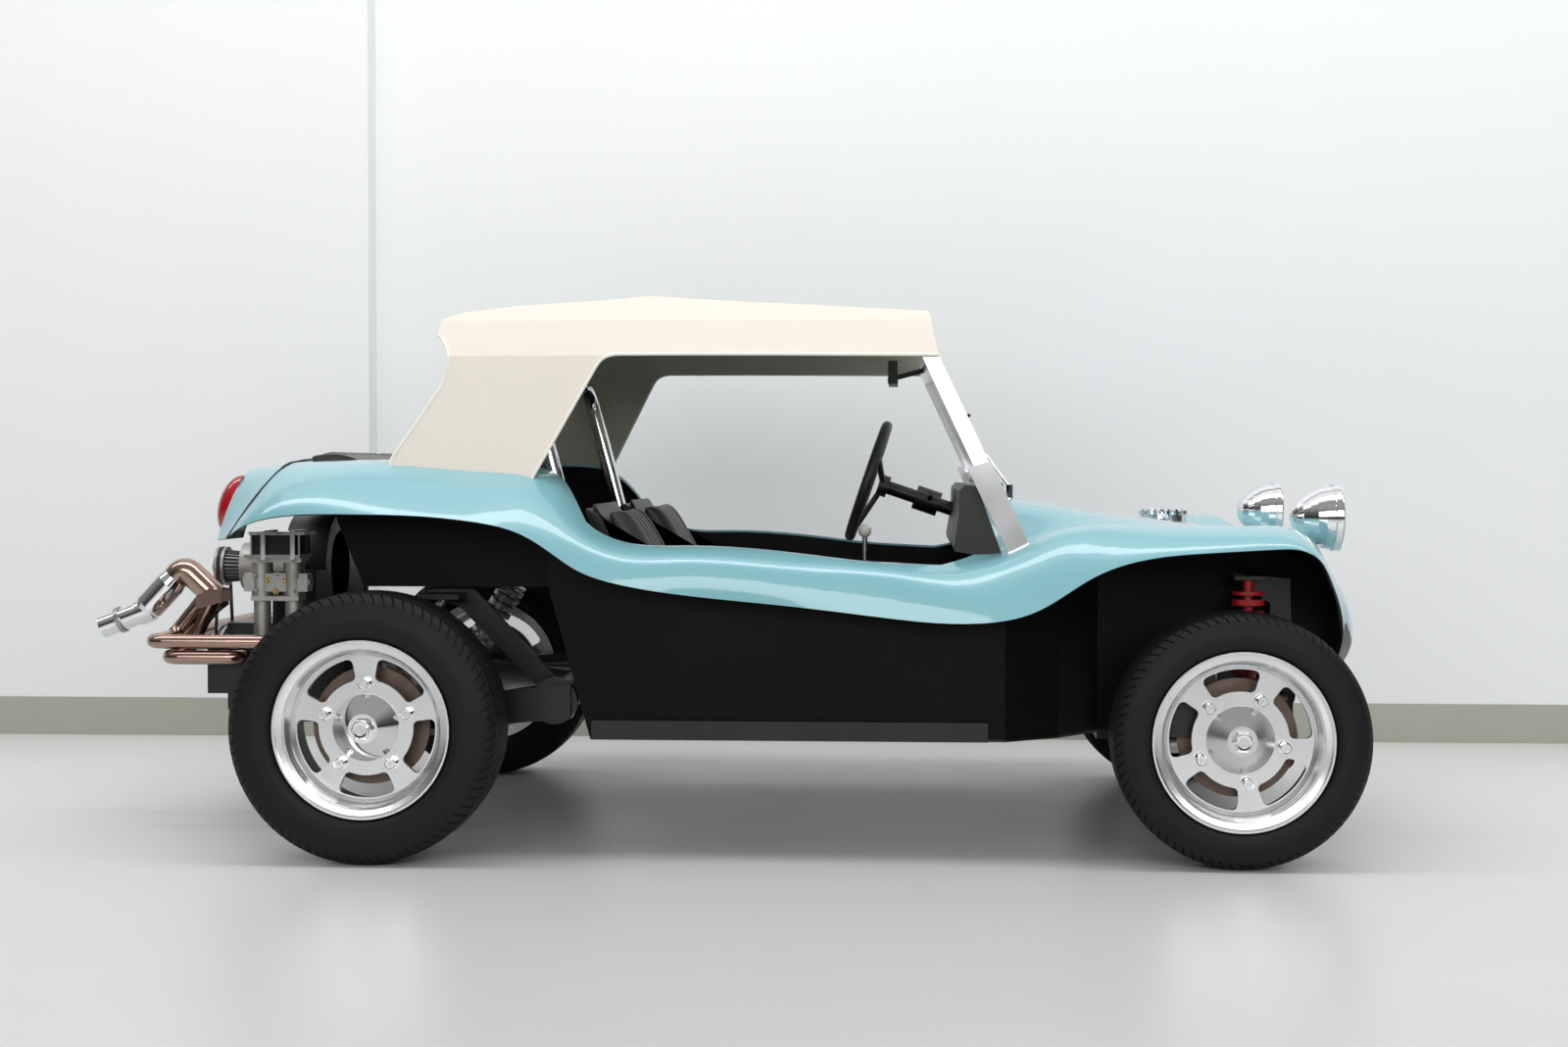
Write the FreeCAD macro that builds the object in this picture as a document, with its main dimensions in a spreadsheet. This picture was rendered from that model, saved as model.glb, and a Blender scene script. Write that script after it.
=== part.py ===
import FreeCAD, Part
import math
import os
import re

import Sketcher
from FreeCAD import Placement, Rotation, Vector

# Open two-seat dune buggy with a hard top, on a shortened floor pan with a rear engine.
# X runs forward, Y to the car's left, Z up. The origin is on the ground, midway along the car.

os.makedirs("parts", exist_ok=True)

# Driving sizes, in millimetres and degrees.
SIZES = {
    "wheelbase": 2032,
    "rear_axle_back": 768,
    "body_width": 1600,
    "deck_height": 942,
    "skin": 6,
    "overrun": 40,
    "fit_gap": 0.3,
    # Floor, tub and tunnel
    "floor_height": 284,
    "floor_wall": 6,
    "tub_wall": 10,
    "tub_half_width": 655,
    "rear_well_half": 520,
    "footwell_half": 430,
    "nose_wall_half": 392,
    "tunnel_width": 130,
    "tunnel_height": 125,
    "sill_height": 46,
    # Hard top and windscreen
    "top_rise": 443,
    "top_wall": 9,
    "roof_half_width": 500,
    "rail_half_width": 570,
    "quarter_half_width": 645,
    "screen_depth": 40,
    "screen_post": 30,
    "glass_thickness": 6,
    # Wheels and tyres
    "rear_tyre_radius": 318,
    "rear_tyre_width": 211,
    "rear_track": 1501,
    "front_tyre_radius": 297,
    "front_tyre_width": 195,
    "front_track": 1401,
    "rim_radius": 208,
    "bead_radius": 191,
    "barrel_radius": 182,
    "rim_inset": 12,
    "flange_thickness": 9,
    "dish_depth": 56,
    "disc_thickness": 14,
    "slot_inner": 112,
    "slot_outer": 164,
    "slot_angle": 50,
    "slot_corner": 13,
    "lug_circle": 205,
    "lug_radius": 11,
    "lug_height": 20,
    "cap_radius": 78,
    "cap_top_radius": 34,
    "cap_height": 30,
    "cap_nut_radius": 22,
    "cap_nut_height": 24,
    "centre_bore": 40,
    # Brakes, hubs and steering
    "brake_radius": 139,
    "brake_thickness": 12,
    "hat_radius": 76,
    "hat_depth": 50,
    "kingpin_half": 620,
    "kingpin_radius": 17,
    "spindle_radius": 28,
    "arm_spacing": 150,
    "arm_eye_radius": 23,
    "arm_eye_height": 26,
    "arm_reach": 140,
    "beam_radius": 30,
    "beam_half": 470,
    "steer_arm": 110,
    "tie_rod_radius": 8,
    "caliper_width": 52,
    "pad_gap": 2,
    # Rear running gear
    "torsion_ahead": 405,
    "torsion_height": 358,
    "torsion_radius": 42,
    "torsion_half": 560,
    "hub_carrier_radius": 46,
    "half_shaft_radius": 14,
    "gearbox_radius": 120,
    # Engine and exhaust
    "crank_height": 410,
    "engine_behind": 130,
    "engine_length": 410,
    "engine_half_width": 130,
    "engine_case_height": 230,
    "barrel_length": 160,
    "head_length": 90,
    "pulley_radius": 85,
    "pulley_width": 26,
    "header_radius": 18,
    "muffler_radius": 39,
    "tip_radius": 30,
    "tip_wall": 2,
    "tip_length": 106,
    # Cockpit
    "steering_wheel_radius": 178,
    "steering_grip_radius": 15,
    "steering_wheel_side": 380,
    "column_radius": 19,
    "seat_width": 400,
    "seat_side": 345,
    "roll_bar_radius": 22,
    "roll_bar_half": 495,
    # Lamps
    "headlamp_radius": 81,
    "headlamp_length": 125,
    "headlamp_side": 430,
    "headlamp_height": 804,
    "tail_lamp_radius": 41,
    "tail_lamp_half": 75,
    "tail_lamp_side": 560,
}

doc = FreeCAD.newDocument("DuneBuggy")
sheet = doc.addObject("Spreadsheet::Sheet", "Dims")
for row, (alias, value) in enumerate(SIZES.items(), 1):
    sheet.set(f"A{row}", alias)
    sheet.set(f"B{row}", str(value))
    sheet.setAlias(f"B{row}", alias)
doc.recompute()


def mm(alias):
    """Value of one driving size, read from the sheet."""
    return float(getattr(sheet, alias))


ALIASES = re.compile(r"\b(" + "|".join(sorted(SIZES, key=len, reverse=True)) + r")\b")


def bind(target, path, text):
    """Tie a property to the sheet with a formula written in size names."""
    target.setExpression(path, ALIASES.sub(r"Dims.\1", text))


def put(target, x="0", y="0", z="0", turn=None):
    """Place an object at a spot written in size names."""
    target.Placement = Placement(Vector(), turn or Rotation())
    for axis, text in (("x", x), ("y", y), ("z", z)):
        bind(target, f"Placement.Base.{axis}", text)
    return target


REAR = "(-rear_axle_back)"
FRONT = "(wheelbase - rear_axle_back)"
TURN_TO = {"X": Rotation(Vector(0, 1, 0), 90), "Y": Rotation(Vector(1, 0, 0), -90), "Z": Rotation(),
           "-X": Rotation(Vector(0, 1, 0), -90), "-Y": Rotation(Vector(1, 0, 0), 90)}


def at(share):
    """Place along the car, as a share of the wheelbase ahead of the rear axle, in size names."""
    return f"({share} * wheelbase - rear_axle_back)"


def up(share):
    """Height as a share of the deck height, in size names."""
    return f"({share} * deck_height)"


def box(length, width, height, x, y, z):
    """Box centred on x and y that stands on z."""
    solid = doc.addObject("Part::Box", "Box")
    bind(solid, "Length", length)
    bind(solid, "Width", width)
    bind(solid, "Height", height)
    return put(solid, f"({x}) - ({length}) / 2", f"({y}) - ({width}) / 2", z)


def rod(radius, length, x, y, z, way="Z"):
    """Cylinder that starts at a point and runs along one axis."""
    solid = doc.addObject("Part::Cylinder", "Rod")
    bind(solid, "Radius", radius)
    bind(solid, "Height", length)
    return put(solid, x, y, z, TURN_TO[way])


def cone(first, second, length, x, y, z, way="Z"):
    """Cone between two radii that starts at a point and runs along one axis."""
    solid = doc.addObject("Part::Cone", "Taper")
    bind(solid, "Radius1", first)
    bind(solid, "Radius2", second)
    bind(solid, "Height", length)
    return put(solid, x, y, z, TURN_TO[way])


def sketch_of(points, holder=None):
    """Closed outline of straight runs, each corner placed by two formulas."""
    if holder is None:
        outline = doc.addObject("Sketcher::SketchObject", "Outline")
    else:
        outline = holder.newObject("Sketcher::SketchObject", "Outline")
    count = len(points)
    spots = [Vector(math.cos(math.tau * i / count), math.sin(math.tau * i / count), 0) for i in range(count)]
    for i in range(count):
        outline.addGeometry(Part.LineSegment(spots[i], spots[(i + 1) % count]), False)
    for i in range(count):
        outline.addConstraint(Sketcher.Constraint("Coincident", i, 2, (i + 1) % count, 1))
    for i, corner in enumerate(points):
        for kind, text, start in zip(("DistanceX", "DistanceY"), corner, (spots[i].x, spots[i].y)):
            index = outline.addConstraint(Sketcher.Constraint(kind, -1, 1, i, 1, start))
            bind(outline, f"Constraints[{index}]", text)
    return outline


def extrusion(outline, way, low, high):
    block = doc.addObject("Part::Extrusion", "Block")
    block.Base = outline
    block.DirMode = "Custom"
    block.Dir = way
    block.Solid = True
    bind(block, "LengthFwd", f"({high}) - ({low})")
    return block


def side_block(shares, low, high):
    """Side-view outline, in shares of the wheelbase and deck height, run from y low to y high."""
    outline = sketch_of([(at(x), up(z)) for x, z in shares])
    put(outline, "0", low, "0", Rotation(Vector(1, 0, 0), 90))
    return extrusion(outline, Vector(0, 1, 0), low, high)


def plan_block(points, low, high):
    """Plan-view outline of formulas, run from z low to z high."""
    outline = put(sketch_of(points), "0", "0", low)
    return extrusion(outline, Vector(0, 0, 1), low, high)


def plane_of(body, role):
    """One of a body's own origin planes or axes."""
    return next(item for item in body.Origin.OriginFeatures if item.Role == role)


def turned_body(label, points):
    """Body turned about its own X axis from an outline of (along, radius) corners."""
    body = doc.addObject("PartDesign::Body", label)
    outline = sketch_of(points, body)
    outline.AttachmentSupport = [(plane_of(body, "XY_Plane"), "")]
    outline.MapMode = "FlatFace"
    solid = body.newObject("PartDesign::Revolution", "Turned")
    solid.Profile = outline
    solid.ReferenceAxis = (outline, ["H_Axis"])
    solid.Angle = 360
    body.Tip = solid
    return body


def mirrored(source):
    """The same piece on the other side of the car."""
    other = doc.addObject("Part::Mirroring", "Other")
    other.Source = source
    other.Normal = Vector(0, 1, 0)
    return other


def fused(*pieces):
    join = doc.addObject("Part::MultiFuse", "Join")
    join.Shapes = list(pieces)
    return join


def cut(base, tool):
    piece = doc.addObject("Part::Cut", "Piece")
    piece.Base = base
    piece.Tool = tool
    return piece


def feature(shape):
    """Free-form piece whose shape is worked out from the sheet."""
    piece = doc.addObject("Part::Feature", "Form")
    piece.Shape = shape
    return piece


NODES = {}


def node(name, piece):
    """Name a finished sub-part: its label is its file's name."""
    piece.Label = name
    NODES[name] = piece
    return piece


# Free-form helpers, all in millimetres read from the sheet

WB = mm("wheelbase")
RX = -mm("rear_axle_back")
FX = RX + WB
HALF = mm("body_width") / 2
DECK = mm("deck_height")
OVER = mm("overrun")
GAP = mm("fit_gap")


def along(share):
    """Place along the car, as a share of the wheelbase ahead of the rear axle."""
    return RX + share * WB


def flat(points):
    """Side-view corners given as shares of the wheelbase and of the deck height."""
    return [(along(x), z * DECK) for x, z in points]


def prism(points, low, high):
    """Side-view outline, given as (x, z) corners, extruded from y low to y high."""
    corners = [Vector(x, low, z) for x, z in points]
    face = Part.Face(Part.makePolygon(corners + corners[:1]))
    return face.extrude(Vector(0, high - low, 0))


def slab(points, low, high):
    """Plan-view outline, given as (x, y) corners, extruded from z low to z high."""
    corners = [Vector(x, y, low) for x, y in points]
    face = Part.Face(Part.makePolygon(corners + corners[:1]))
    return face.extrude(Vector(0, 0, high - low))


def ribbon(points, thickness):
    """Plan outline of a wall: a line of (x, y) points and its offset to the right-hand side."""
    shifted = []
    last = len(points) - 1
    for i, (x, y) in enumerate(points):
        before = points[max(i - 1, 0)]
        after = points[min(i + 1, last)]
        normals = []
        for (ax, ay), (bx, by) in ((before, (x, y)), ((x, y), after)):
            run = math.hypot(bx - ax, by - ay)
            if run:
                normals.append(Vector((by - ay) / run, -(bx - ax) / run, 0))
        mean = (normals[0] + normals[-1]).normalize()
        reach = thickness / mean.dot(normals[0])
        shifted.append((x + mean.x * reach, y + mean.y * reach))
    return points + shifted[::-1]


def bent_path(points, bend):
    """Straight runs joined by tangent arcs of one radius."""
    spots = [Vector(*spot) for spot in points]
    edges = []
    start = spots[0]
    for before, corner, after in zip(spots, spots[1:], spots[2:]):
        into = (corner - before).normalize()
        out = (after - corner).normalize()
        turn = into.getAngle(out)
        trim = bend * math.tan(turn / 2)
        first = corner - into * trim
        second = corner + out * trim
        inside = (out - into).normalize()
        middle = corner + inside * (bend / math.cos(turn / 2) - bend)
        edges.append(Part.LineSegment(start, first).toShape())
        edges.append(Part.Arc(first, middle, second).toShape())
        start = second
    edges.append(Part.LineSegment(start, spots[-1]).toShape())
    return Part.Wire(edges)


def tube(points, radius, bend=0.0):
    """Round bar or pipe along a bent path."""
    path = bent_path(points, bend)
    first = Vector(*points[0])
    wire = Part.Wire(Part.Circle(first, Vector(*points[1]) - first, radius).toShape())
    return path.makePipeShell([wire], True, False)


def bar(start, end, radius):
    """Straight round bar between two points."""
    run = Vector(*end) - Vector(*start)
    return Part.makeCylinder(radius, run.Length, Vector(*start), run)


def other_side(shape):
    return shape.mirror(Vector(), Vector(0, 1, 0))


def both_sides(shape):
    """A shape and its mirror image across the car."""
    return [shape, other_side(shape)]


def largest(shape):
    """The main solid that a cut leaves."""
    return max(shape.Solids, key=lambda part: part.Volume)


# Body moulding

# Half sections across the car from the tail seam to the chin. Each row holds seven points, from the
# centre out to the flared lip: place along the car as a share of the wheelbase from the rear axle,
# half width as a share of half the body's width, and height as a share of the deck height.
SECTION_SHARES = [
    [(-0.080, 0.00, 1.006), (-0.080, 0.34, 1.005), (-0.080, 0.54, 1.003), (-0.081, 0.67, 1.000),
     (-0.086, 0.79, 0.986), (-0.104, 0.915, 0.925), (-0.127, 0.957, 0.851)],
    [(-0.020, 0.00, 1.006), (-0.020, 0.34, 1.005), (-0.020, 0.55, 1.004), (-0.020, 0.69, 1.002),
     (-0.020, 0.81, 0.985), (-0.022, 0.935, 0.923), (-0.025, 0.998, 0.867)],
    [(0.060, 0.00, 1.004), (0.060, 0.34, 1.003), (0.060, 0.56, 1.002), (0.060, 0.70, 0.997),
     (0.060, 0.81, 0.976), (0.060, 0.932, 0.913), (0.060, 1.000, 0.863)],
    [(0.125, 0.00, 0.998), (0.125, 0.34, 0.998), (0.125, 0.56, 0.996), (0.125, 0.70, 0.989),
     (0.125, 0.81, 0.966), (0.125, 0.925, 0.904), (0.125, 0.996, 0.849)],
    [(0.180, 0.00, 0.990), (0.180, 0.34, 0.990), (0.180, 0.57, 0.988), (0.180, 0.70, 0.979),
     (0.180, 0.81, 0.953), (0.180, 0.920, 0.886), (0.180, 0.988, 0.818)],
    [(0.215, 0.00, 0.945), (0.215, 0.34, 0.945), (0.215, 0.60, 0.944), (0.215, 0.73, 0.934),
     (0.215, 0.82, 0.907), (0.215, 0.918, 0.847), (0.215, 0.981, 0.771)],
    [(0.250, 0.00, 0.850), (0.250, 0.34, 0.850), (0.250, 0.62, 0.850), (0.250, 0.76, 0.845),
     (0.250, 0.835, 0.828), (0.250, 0.916, 0.800), (0.250, 0.972, 0.722)],
    [(0.290, 0.00, 0.792), (0.290, 0.34, 0.792), (0.290, 0.64, 0.794), (0.290, 0.78, 0.796),
     (0.290, 0.84, 0.790), (0.290, 0.915, 0.763), (0.290, 0.958, 0.694)],
    [(0.360, 0.00, 0.776), (0.360, 0.34, 0.778), (0.360, 0.65, 0.782), (0.360, 0.79, 0.786),
     (0.360, 0.845, 0.780), (0.360, 0.912, 0.749), (0.360, 0.940, 0.668)],
    [(0.500, 0.00, 0.752), (0.500, 0.34, 0.756), (0.500, 0.65, 0.762), (0.500, 0.79, 0.766),
     (0.500, 0.845, 0.759), (0.500, 0.905, 0.722), (0.500, 0.932, 0.637)],
    [(0.610, 0.00, 0.780), (0.610, 0.34, 0.775), (0.610, 0.60, 0.757), (0.610, 0.76, 0.747),
     (0.610, 0.845, 0.737), (0.610, 0.903, 0.697), (0.610, 0.934, 0.609)],
    [(0.690, 0.00, 0.922), (0.690, 0.34, 0.918), (0.690, 0.60, 0.878), (0.690, 0.70, 0.775),
     (0.690, 0.81, 0.740), (0.690, 0.900, 0.686), (0.690, 0.941, 0.599)],
    [(0.735, 0.00, 0.915), (0.735, 0.33, 0.910), (0.735, 0.56, 0.870), (0.735, 0.67, 0.780),
     (0.735, 0.80, 0.763), (0.735, 0.895, 0.700), (0.735, 0.946, 0.608)],
    [(0.780, 0.00, 0.900), (0.780, 0.31, 0.893), (0.780, 0.50, 0.862), (0.780, 0.62, 0.800),
     (0.780, 0.775, 0.812), (0.780, 0.890, 0.752), (0.780, 0.952, 0.643)],
    [(0.830, 0.00, 0.880), (0.830, 0.29, 0.872), (0.830, 0.44, 0.850), (0.830, 0.58, 0.812),
     (0.830, 0.765, 0.838), (0.830, 0.890, 0.795), (0.830, 0.958, 0.712)],
    [(0.890, 0.00, 0.858), (0.890, 0.27, 0.851), (0.890, 0.41, 0.832), (0.890, 0.56, 0.808),
     (0.890, 0.755, 0.839), (0.890, 0.895, 0.813), (0.890, 0.964, 0.758)],
    [(0.960, 0.00, 0.838), (0.960, 0.27, 0.832), (0.960, 0.41, 0.814), (0.960, 0.56, 0.800),
     (0.960, 0.755, 0.836), (0.960, 0.900, 0.819), (0.960, 0.966, 0.775)],
    [(1.033, 0.00, 0.808), (1.033, 0.27, 0.804), (1.033, 0.42, 0.793), (1.033, 0.56, 0.789),
     (1.033, 0.755, 0.834), (1.033, 0.905, 0.822), (1.033, 0.965, 0.784)],
    [(1.090, 0.00, 0.762), (1.088, 0.26, 0.762), (1.083, 0.42, 0.762), (1.074, 0.57, 0.774),
     (1.066, 0.755, 0.827), (1.064, 0.905, 0.814), (1.062, 0.963, 0.783)],
    [(1.132, 0.00, 0.700), (1.129, 0.25, 0.702), (1.121, 0.42, 0.712), (1.104, 0.58, 0.742),
     (1.090, 0.745, 0.797), (1.085, 0.890, 0.786), (1.083, 0.950, 0.762)],
    [(1.160, 0.00, 0.628), (1.157, 0.24, 0.630), (1.149, 0.41, 0.640), (1.135, 0.56, 0.668),
     (1.117, 0.70, 0.718), (1.108, 0.815, 0.722), (1.104, 0.865, 0.706)],
    [(1.172, 0.00, 0.566), (1.170, 0.22, 0.568), (1.164, 0.39, 0.576), (1.154, 0.52, 0.596),
     (1.142, 0.62, 0.626), (1.132, 0.685, 0.634), (1.127, 0.715, 0.624)],
    [(1.172, 0.00, 0.505), (1.170, 0.21, 0.506), (1.165, 0.37, 0.512), (1.157, 0.48, 0.522),
     (1.148, 0.55, 0.535), (1.142, 0.585, 0.540), (1.137, 0.605, 0.536)],
    # chin, level
    [(1.153, 0.00, 0.445), (1.151, 0.20, 0.445), (1.147, 0.35, 0.445), (1.140, 0.45, 0.445),
     (1.132, 0.515, 0.445), (1.127, 0.545, 0.445), (1.122, 0.562, 0.445)],
]
# The tail seam and the tail edge are flat and slanted: half widths and heights of their points.
SEAM_SHARES = [(0.00, 1.006), (0.34, 1.005), (0.54, 1.002), (0.66, 0.997), (0.775, 0.982),
               (0.858, 0.908), (0.875, 0.804)]
TAIL_EDGE_SHARES = [(0.00, 0.992), (0.33, 0.991), (0.50, 0.989), (0.60, 0.985), (0.69, 0.965),
                    (0.765, 0.895), (0.78, 0.796)]
SEAM_TOP_SHARE, SEAM_LEAN_SHARE = -0.112, 0.312
TAIL_TOP_SHARE, TAIL_LEAN_SHARE = -0.171, 0.142
# Where each of the seven points lies along the curve of a half section.
SPACING_SHARES = [0.0, 0.26, 0.44, 0.58, 0.72, 0.87, 1.0]


def slanted_row(shares, top, lean):
    """A section in a slanted plane that meets the deck at one place and leans back below it."""
    return [(top + (z - shares[0][1]) * lean, y, z) for y, z in shares]


def inward(tangent, lean):
    """Unit step off a section curve, in the section's own plane, towards the inside."""
    step = Vector(0, 1, 0) * tangent.dot(lean) - lean * tangent.y
    return step.normalize()


def half_section(row, inset):
    """Right-hand half of one section, from the centre to the lip, moved inwards by an inset."""
    half = [Vector(along(x), -y * HALF, z * DECK) for x, y, z in row]
    lean = Vector(half[-1].x - half[0].x, 0, half[-1].z - half[0].z).normalize()
    moved = []
    for i, spot in enumerate(half):
        tangent = (half[min(i + 1, len(half) - 1)] - half[max(i - 1, 0)]).normalize()
        if i == 0:
            tangent = Vector(0, -1, 0)
        moved.append(spot + inward(tangent, lean) * inset)
    return moved


def full_line(half):
    """Left lip to right lip, from the right half."""
    return [Vector(p.x, -p.y, p.z) for p in half[:0:-1]] + half


def spline(points):
    """Smooth curve through a row of points, spaced alike on every section."""
    curve = Part.BSplineCurve()
    spacing = [-s for s in SPACING_SHARES[:0:-1]] + SPACING_SHARES
    curve.interpolate(Points=points, Parameters=spacing)
    return curve


def moulded(lines):
    """Smooth surface through a row of sections, each a row of points."""
    sections = [spline(line) for line in lines]
    places = [0.0]
    for before, after in zip(lines, lines[1:]):
        places.append(places[-1] + sum((a - b).Length for a, b in zip(before, after)) / len(before))
    columns = []
    for poles in zip(*[section.getPoles() for section in sections]):
        column = Part.BSplineCurve()
        column.interpolate(Points=list(poles), Parameters=places)
        columns.append(column)
    grid = list(zip(*[column.getPoles() for column in columns]))
    form = Part.BSplineSurface()
    form.buildFromPolesMultsKnots(grid, columns[0].getMultiplicities(), sections[0].getMultiplicities(),
                                  columns[0].getKnots(), sections[0].getKnots(), False, False, 3, 3)
    return form, places


def inner_lines(form, places, lines):
    """The sections moved in by the wall. Those at the ends of a length stay in their own plane."""
    spacing = [-s for s in SPACING_SHARES[:0:-1]] + SPACING_SHARES
    moved = []
    inward = -1 if form.normal(places[0], 0).z > 0 else 1
    for i, (place, line) in enumerate(zip(places, lines)):
        lean = (line[-1] + line[0]) * 0.5 - line[len(line) // 2]
        across = lean.cross(Vector(0, 1, 0)).normalize()
        row = []
        for spot, share in zip(line, spacing):
            off = form.normal(place, share) * inward
            if i in LENGTH_ENDS:
                level = off - across * off.dot(across)
                off = level / max(level.Length ** 2, 0.25)
            row.append(spot + off * mm("skin"))
        moved.append(row)
    return moved


def closed_section(row):
    """Closed outline of the wall at one slanted section."""
    outer = full_line(half_section(row, 0))
    inner = full_line(half_section(row, mm("skin")))
    edges = [spline(outer).toShape(), Part.LineSegment(outer[-1], inner[-1]).toShape(),
             spline(inner[::-1]).toShape(), Part.LineSegment(inner[0], outer[0]).toShape()]
    return Part.Wire(edges)


def wall_between(outer, inner):
    """Solid wall between two surfaces, closed at its lips and ends."""
    faces = [outer.toShape(), inner.toShape()]
    start, end, right, left = outer.bounds()
    for place in (right, left):
        faces.append(Part.makeRuledSurface(outer.vIso(place).toShape(), inner.vIso(place).toShape()))
    for outer_place, inner_place in zip((start, end), inner.bounds()[:2]):
        rims = [outer.uIso(outer_place).toShape(), inner.uIso(inner_place).toShape()]
        starts, stops = [[rim.valueAt(rim.ParameterRange[k]) for rim in rims] for k in (0, 1)]
        faces.append(Part.Face(Part.Wire([rims[0], Part.LineSegment(*stops).toShape(), rims[1],
                                          Part.LineSegment(*starts).toShape()])))
    skin = Part.makeCompound(faces)
    skin.sewShape()
    wall = Part.makeSolid(skin.Shells[0])
    if wall.Volume < 0:
        wall.reverse()
    return wall


SEAM_ROW = slanted_row(SEAM_SHARES, SEAM_TOP_SHARE, SEAM_LEAN_SHARE)
TAIL_ROW = slanted_row(TAIL_EDGE_SHARES, TAIL_TOP_SHARE, TAIL_LEAN_SHARE)
BODY_ROWS = [SEAM_ROW] + SECTION_SHARES
# Rows at which the moulding is divided into its rear, its sides and its nose.
REAR_JOIN, NOSE_JOIN, LAST_ROW = 7, 11, len(BODY_ROWS) - 1
LENGTH_ENDS = (0, REAR_JOIN, NOSE_JOIN, LAST_ROW)
body_lines = [full_line(half_section(row, 0)) for row in BODY_ROWS]
outer_form, outer_places = moulded(body_lines)
inner_form, inner_places = moulded(inner_lines(outer_form, outer_places, body_lines))


def body_length(first, last):
    """One length of the moulding between two of its sections."""
    walls = []
    for form, places in ((outer_form, outer_places), (inner_form, inner_places)):
        piece = form.copy()
        piece.segment(places[first], places[last], -1.0, 1.0)
        walls.append(piece)
    return wall_between(*walls)


# Openings seen from above: rear well, cockpit and the cowl's edge

WELL_HALF = mm("rear_well_half")
TUB_HALF = mm("tub_half_width")
TUB_WALL = mm("tub_wall")
FOOT_HALF = mm("footwell_half")
FLOOR = mm("floor_height")
DOOR_HALF = TUB_HALF - TUB_WALL
WELL_REAR_SHARE, WELL_FRONT_SHARE, DOOR_REAR_SHARE = -0.062, 0.206, 0.245
DOOR_FRONT_SHARE, COWL_SHARE, COWL_HALF_SHARE = 0.66, 0.700, 0.72
right_edge = [(along(WELL_REAR_SHARE), -WELL_HALF), (along(WELL_FRONT_SHARE), -WELL_HALF),
              (along(DOOR_REAR_SHARE), -DOOR_HALF), (along(DOOR_FRONT_SHARE), -DOOR_HALF),
              (along(COWL_SHARE), -COWL_HALF_SHARE * HALF)]
opening = slab(right_edge + [(x, -y) for x, y in right_edge[::-1]], 0, 2 * DECK)
body_rear = largest(body_length(0, REAR_JOIN).cut(opening))
body_nose = largest(body_length(NOSE_JOIN, LAST_ROW).cut(opening))
body_sides = body_length(REAR_JOIN, NOSE_JOIN).cut(opening)
moulding = body_length(0, LAST_ROW)
node("body_rear", feature(body_rear))
node("body_nose", feature(body_nose))
node("body_sides", feature(body_sides))

# Tail panel: the cap behind the seam, with a flat rear face round the engine opening

ENGINE_DOOR_SHARES = (0.55, 0.925)


def tail_form():
    edge = full_line(half_section(TAIL_ROW, 0))
    face = Part.Face(Part.Wire([spline(edge).toShape(), Part.LineSegment(edge[-1], edge[0]).toShape()]))
    half, height = ENGINE_DOOR_SHARES[0] * HALF, ENGINE_DOOR_SHARES[1] * DECK
    door = Part.makeBox(WB, 2 * half, height, Vector(RX - WB / 2, -half, 0))
    cap = Part.makeLoft([closed_section(SEAM_ROW), closed_section(TAIL_ROW)], True, True)
    return largest(cap.fuse(face.extrude(Vector(mm("skin"), 0, 0)).cut(door)))


tail = tail_form()
node("tail_panel", feature(tail))

# Tail lamps: tall oval lenses flush on the tail panel's slanted face

LAMP_HEIGHT_SHARE = 0.885


def tail_face_x(z):
    """Place of the slanted tail face at one height."""
    return along(TAIL_TOP_SHARE + (z / DECK - TAIL_EDGE_SHARES[0][1]) * TAIL_LEAN_SHARE)


def tail_lamp(side):
    """One lens: an ellipse turned about its long axis, halved by the tail face."""
    z = LAMP_HEIGHT_SHARE * DECK
    tall, deep = mm("tail_lamp_half"), mm("tail_lamp_radius")
    centre = Vector(tail_face_x(z), side * mm("tail_lamp_side"), z)
    lean = Vector(TAIL_LEAN_SHARE * WB, 0, DECK).normalize()
    oval = Part.Ellipse(centre + lean * tall, centre + Vector(0, deep, 0), centre)
    edge = Part.Arc(oval, 0, math.pi).toShape()
    chord = Part.LineSegment(edge.lastVertex().Point, edge.firstVertex().Point).toShape()
    lens = Part.Face(Part.Wire([edge, chord])).revolve(centre, lean * -1, 360)
    plane = [(tail_face_x(2 * DECK), 2 * DECK), (tail_face_x(0), 0)]
    behind = prism(plane + [(RX - WB, 0), (RX - WB, 2 * DECK)], -HALF, HALF)
    return largest(behind.common(lens))


node("tail_lamps", feature(Part.makeCompound([tail_lamp(-1), tail_lamp(1)])))

# Wheels: tyre, rim with slots, lug nuts and cap, and the brake disc with its hub, all turned bodies


def wheel_pose(front, side, phase):
    """Place and turn of a wheel's own frame, whose X points out of the car."""
    lean = Rotation(Vector(0, 0, 1), 90 * side)
    spin = Rotation(Vector(1, 0, 0), phase)
    end = "front" if front else "rear"
    x = FRONT if front else REAR
    return x, f"{side} * {end}_track / 2", f"{end}_tyre_radius", lean * spin


def tyre_points(end):
    half = f"{end}_tyre_width / 2"
    top = f"{end}_tyre_radius"
    bead = f"{half} - rim_inset - flange_thickness - fit_gap"
    rows = [(bead, "bead_radius + fit_gap"), (bead, "rim_radius + 2 * fit_gap"),
            (f"{half} - rim_inset / 3", f"rim_radius + ({top} - rim_radius) * 0.14"),
            (half, f"rim_radius + ({top} - rim_radius) * 0.45"),
            (f"{half} - rim_inset", f"rim_radius + ({top} - rim_radius) * 0.80"),
            (f"{half} - 2.4 * rim_inset", f"{top} - rim_inset / 4"), (f"{half} - 4.5 * rim_inset", top)]
    return rows + [(f"-({place})", radius) for place, radius in rows[::-1]]


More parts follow.
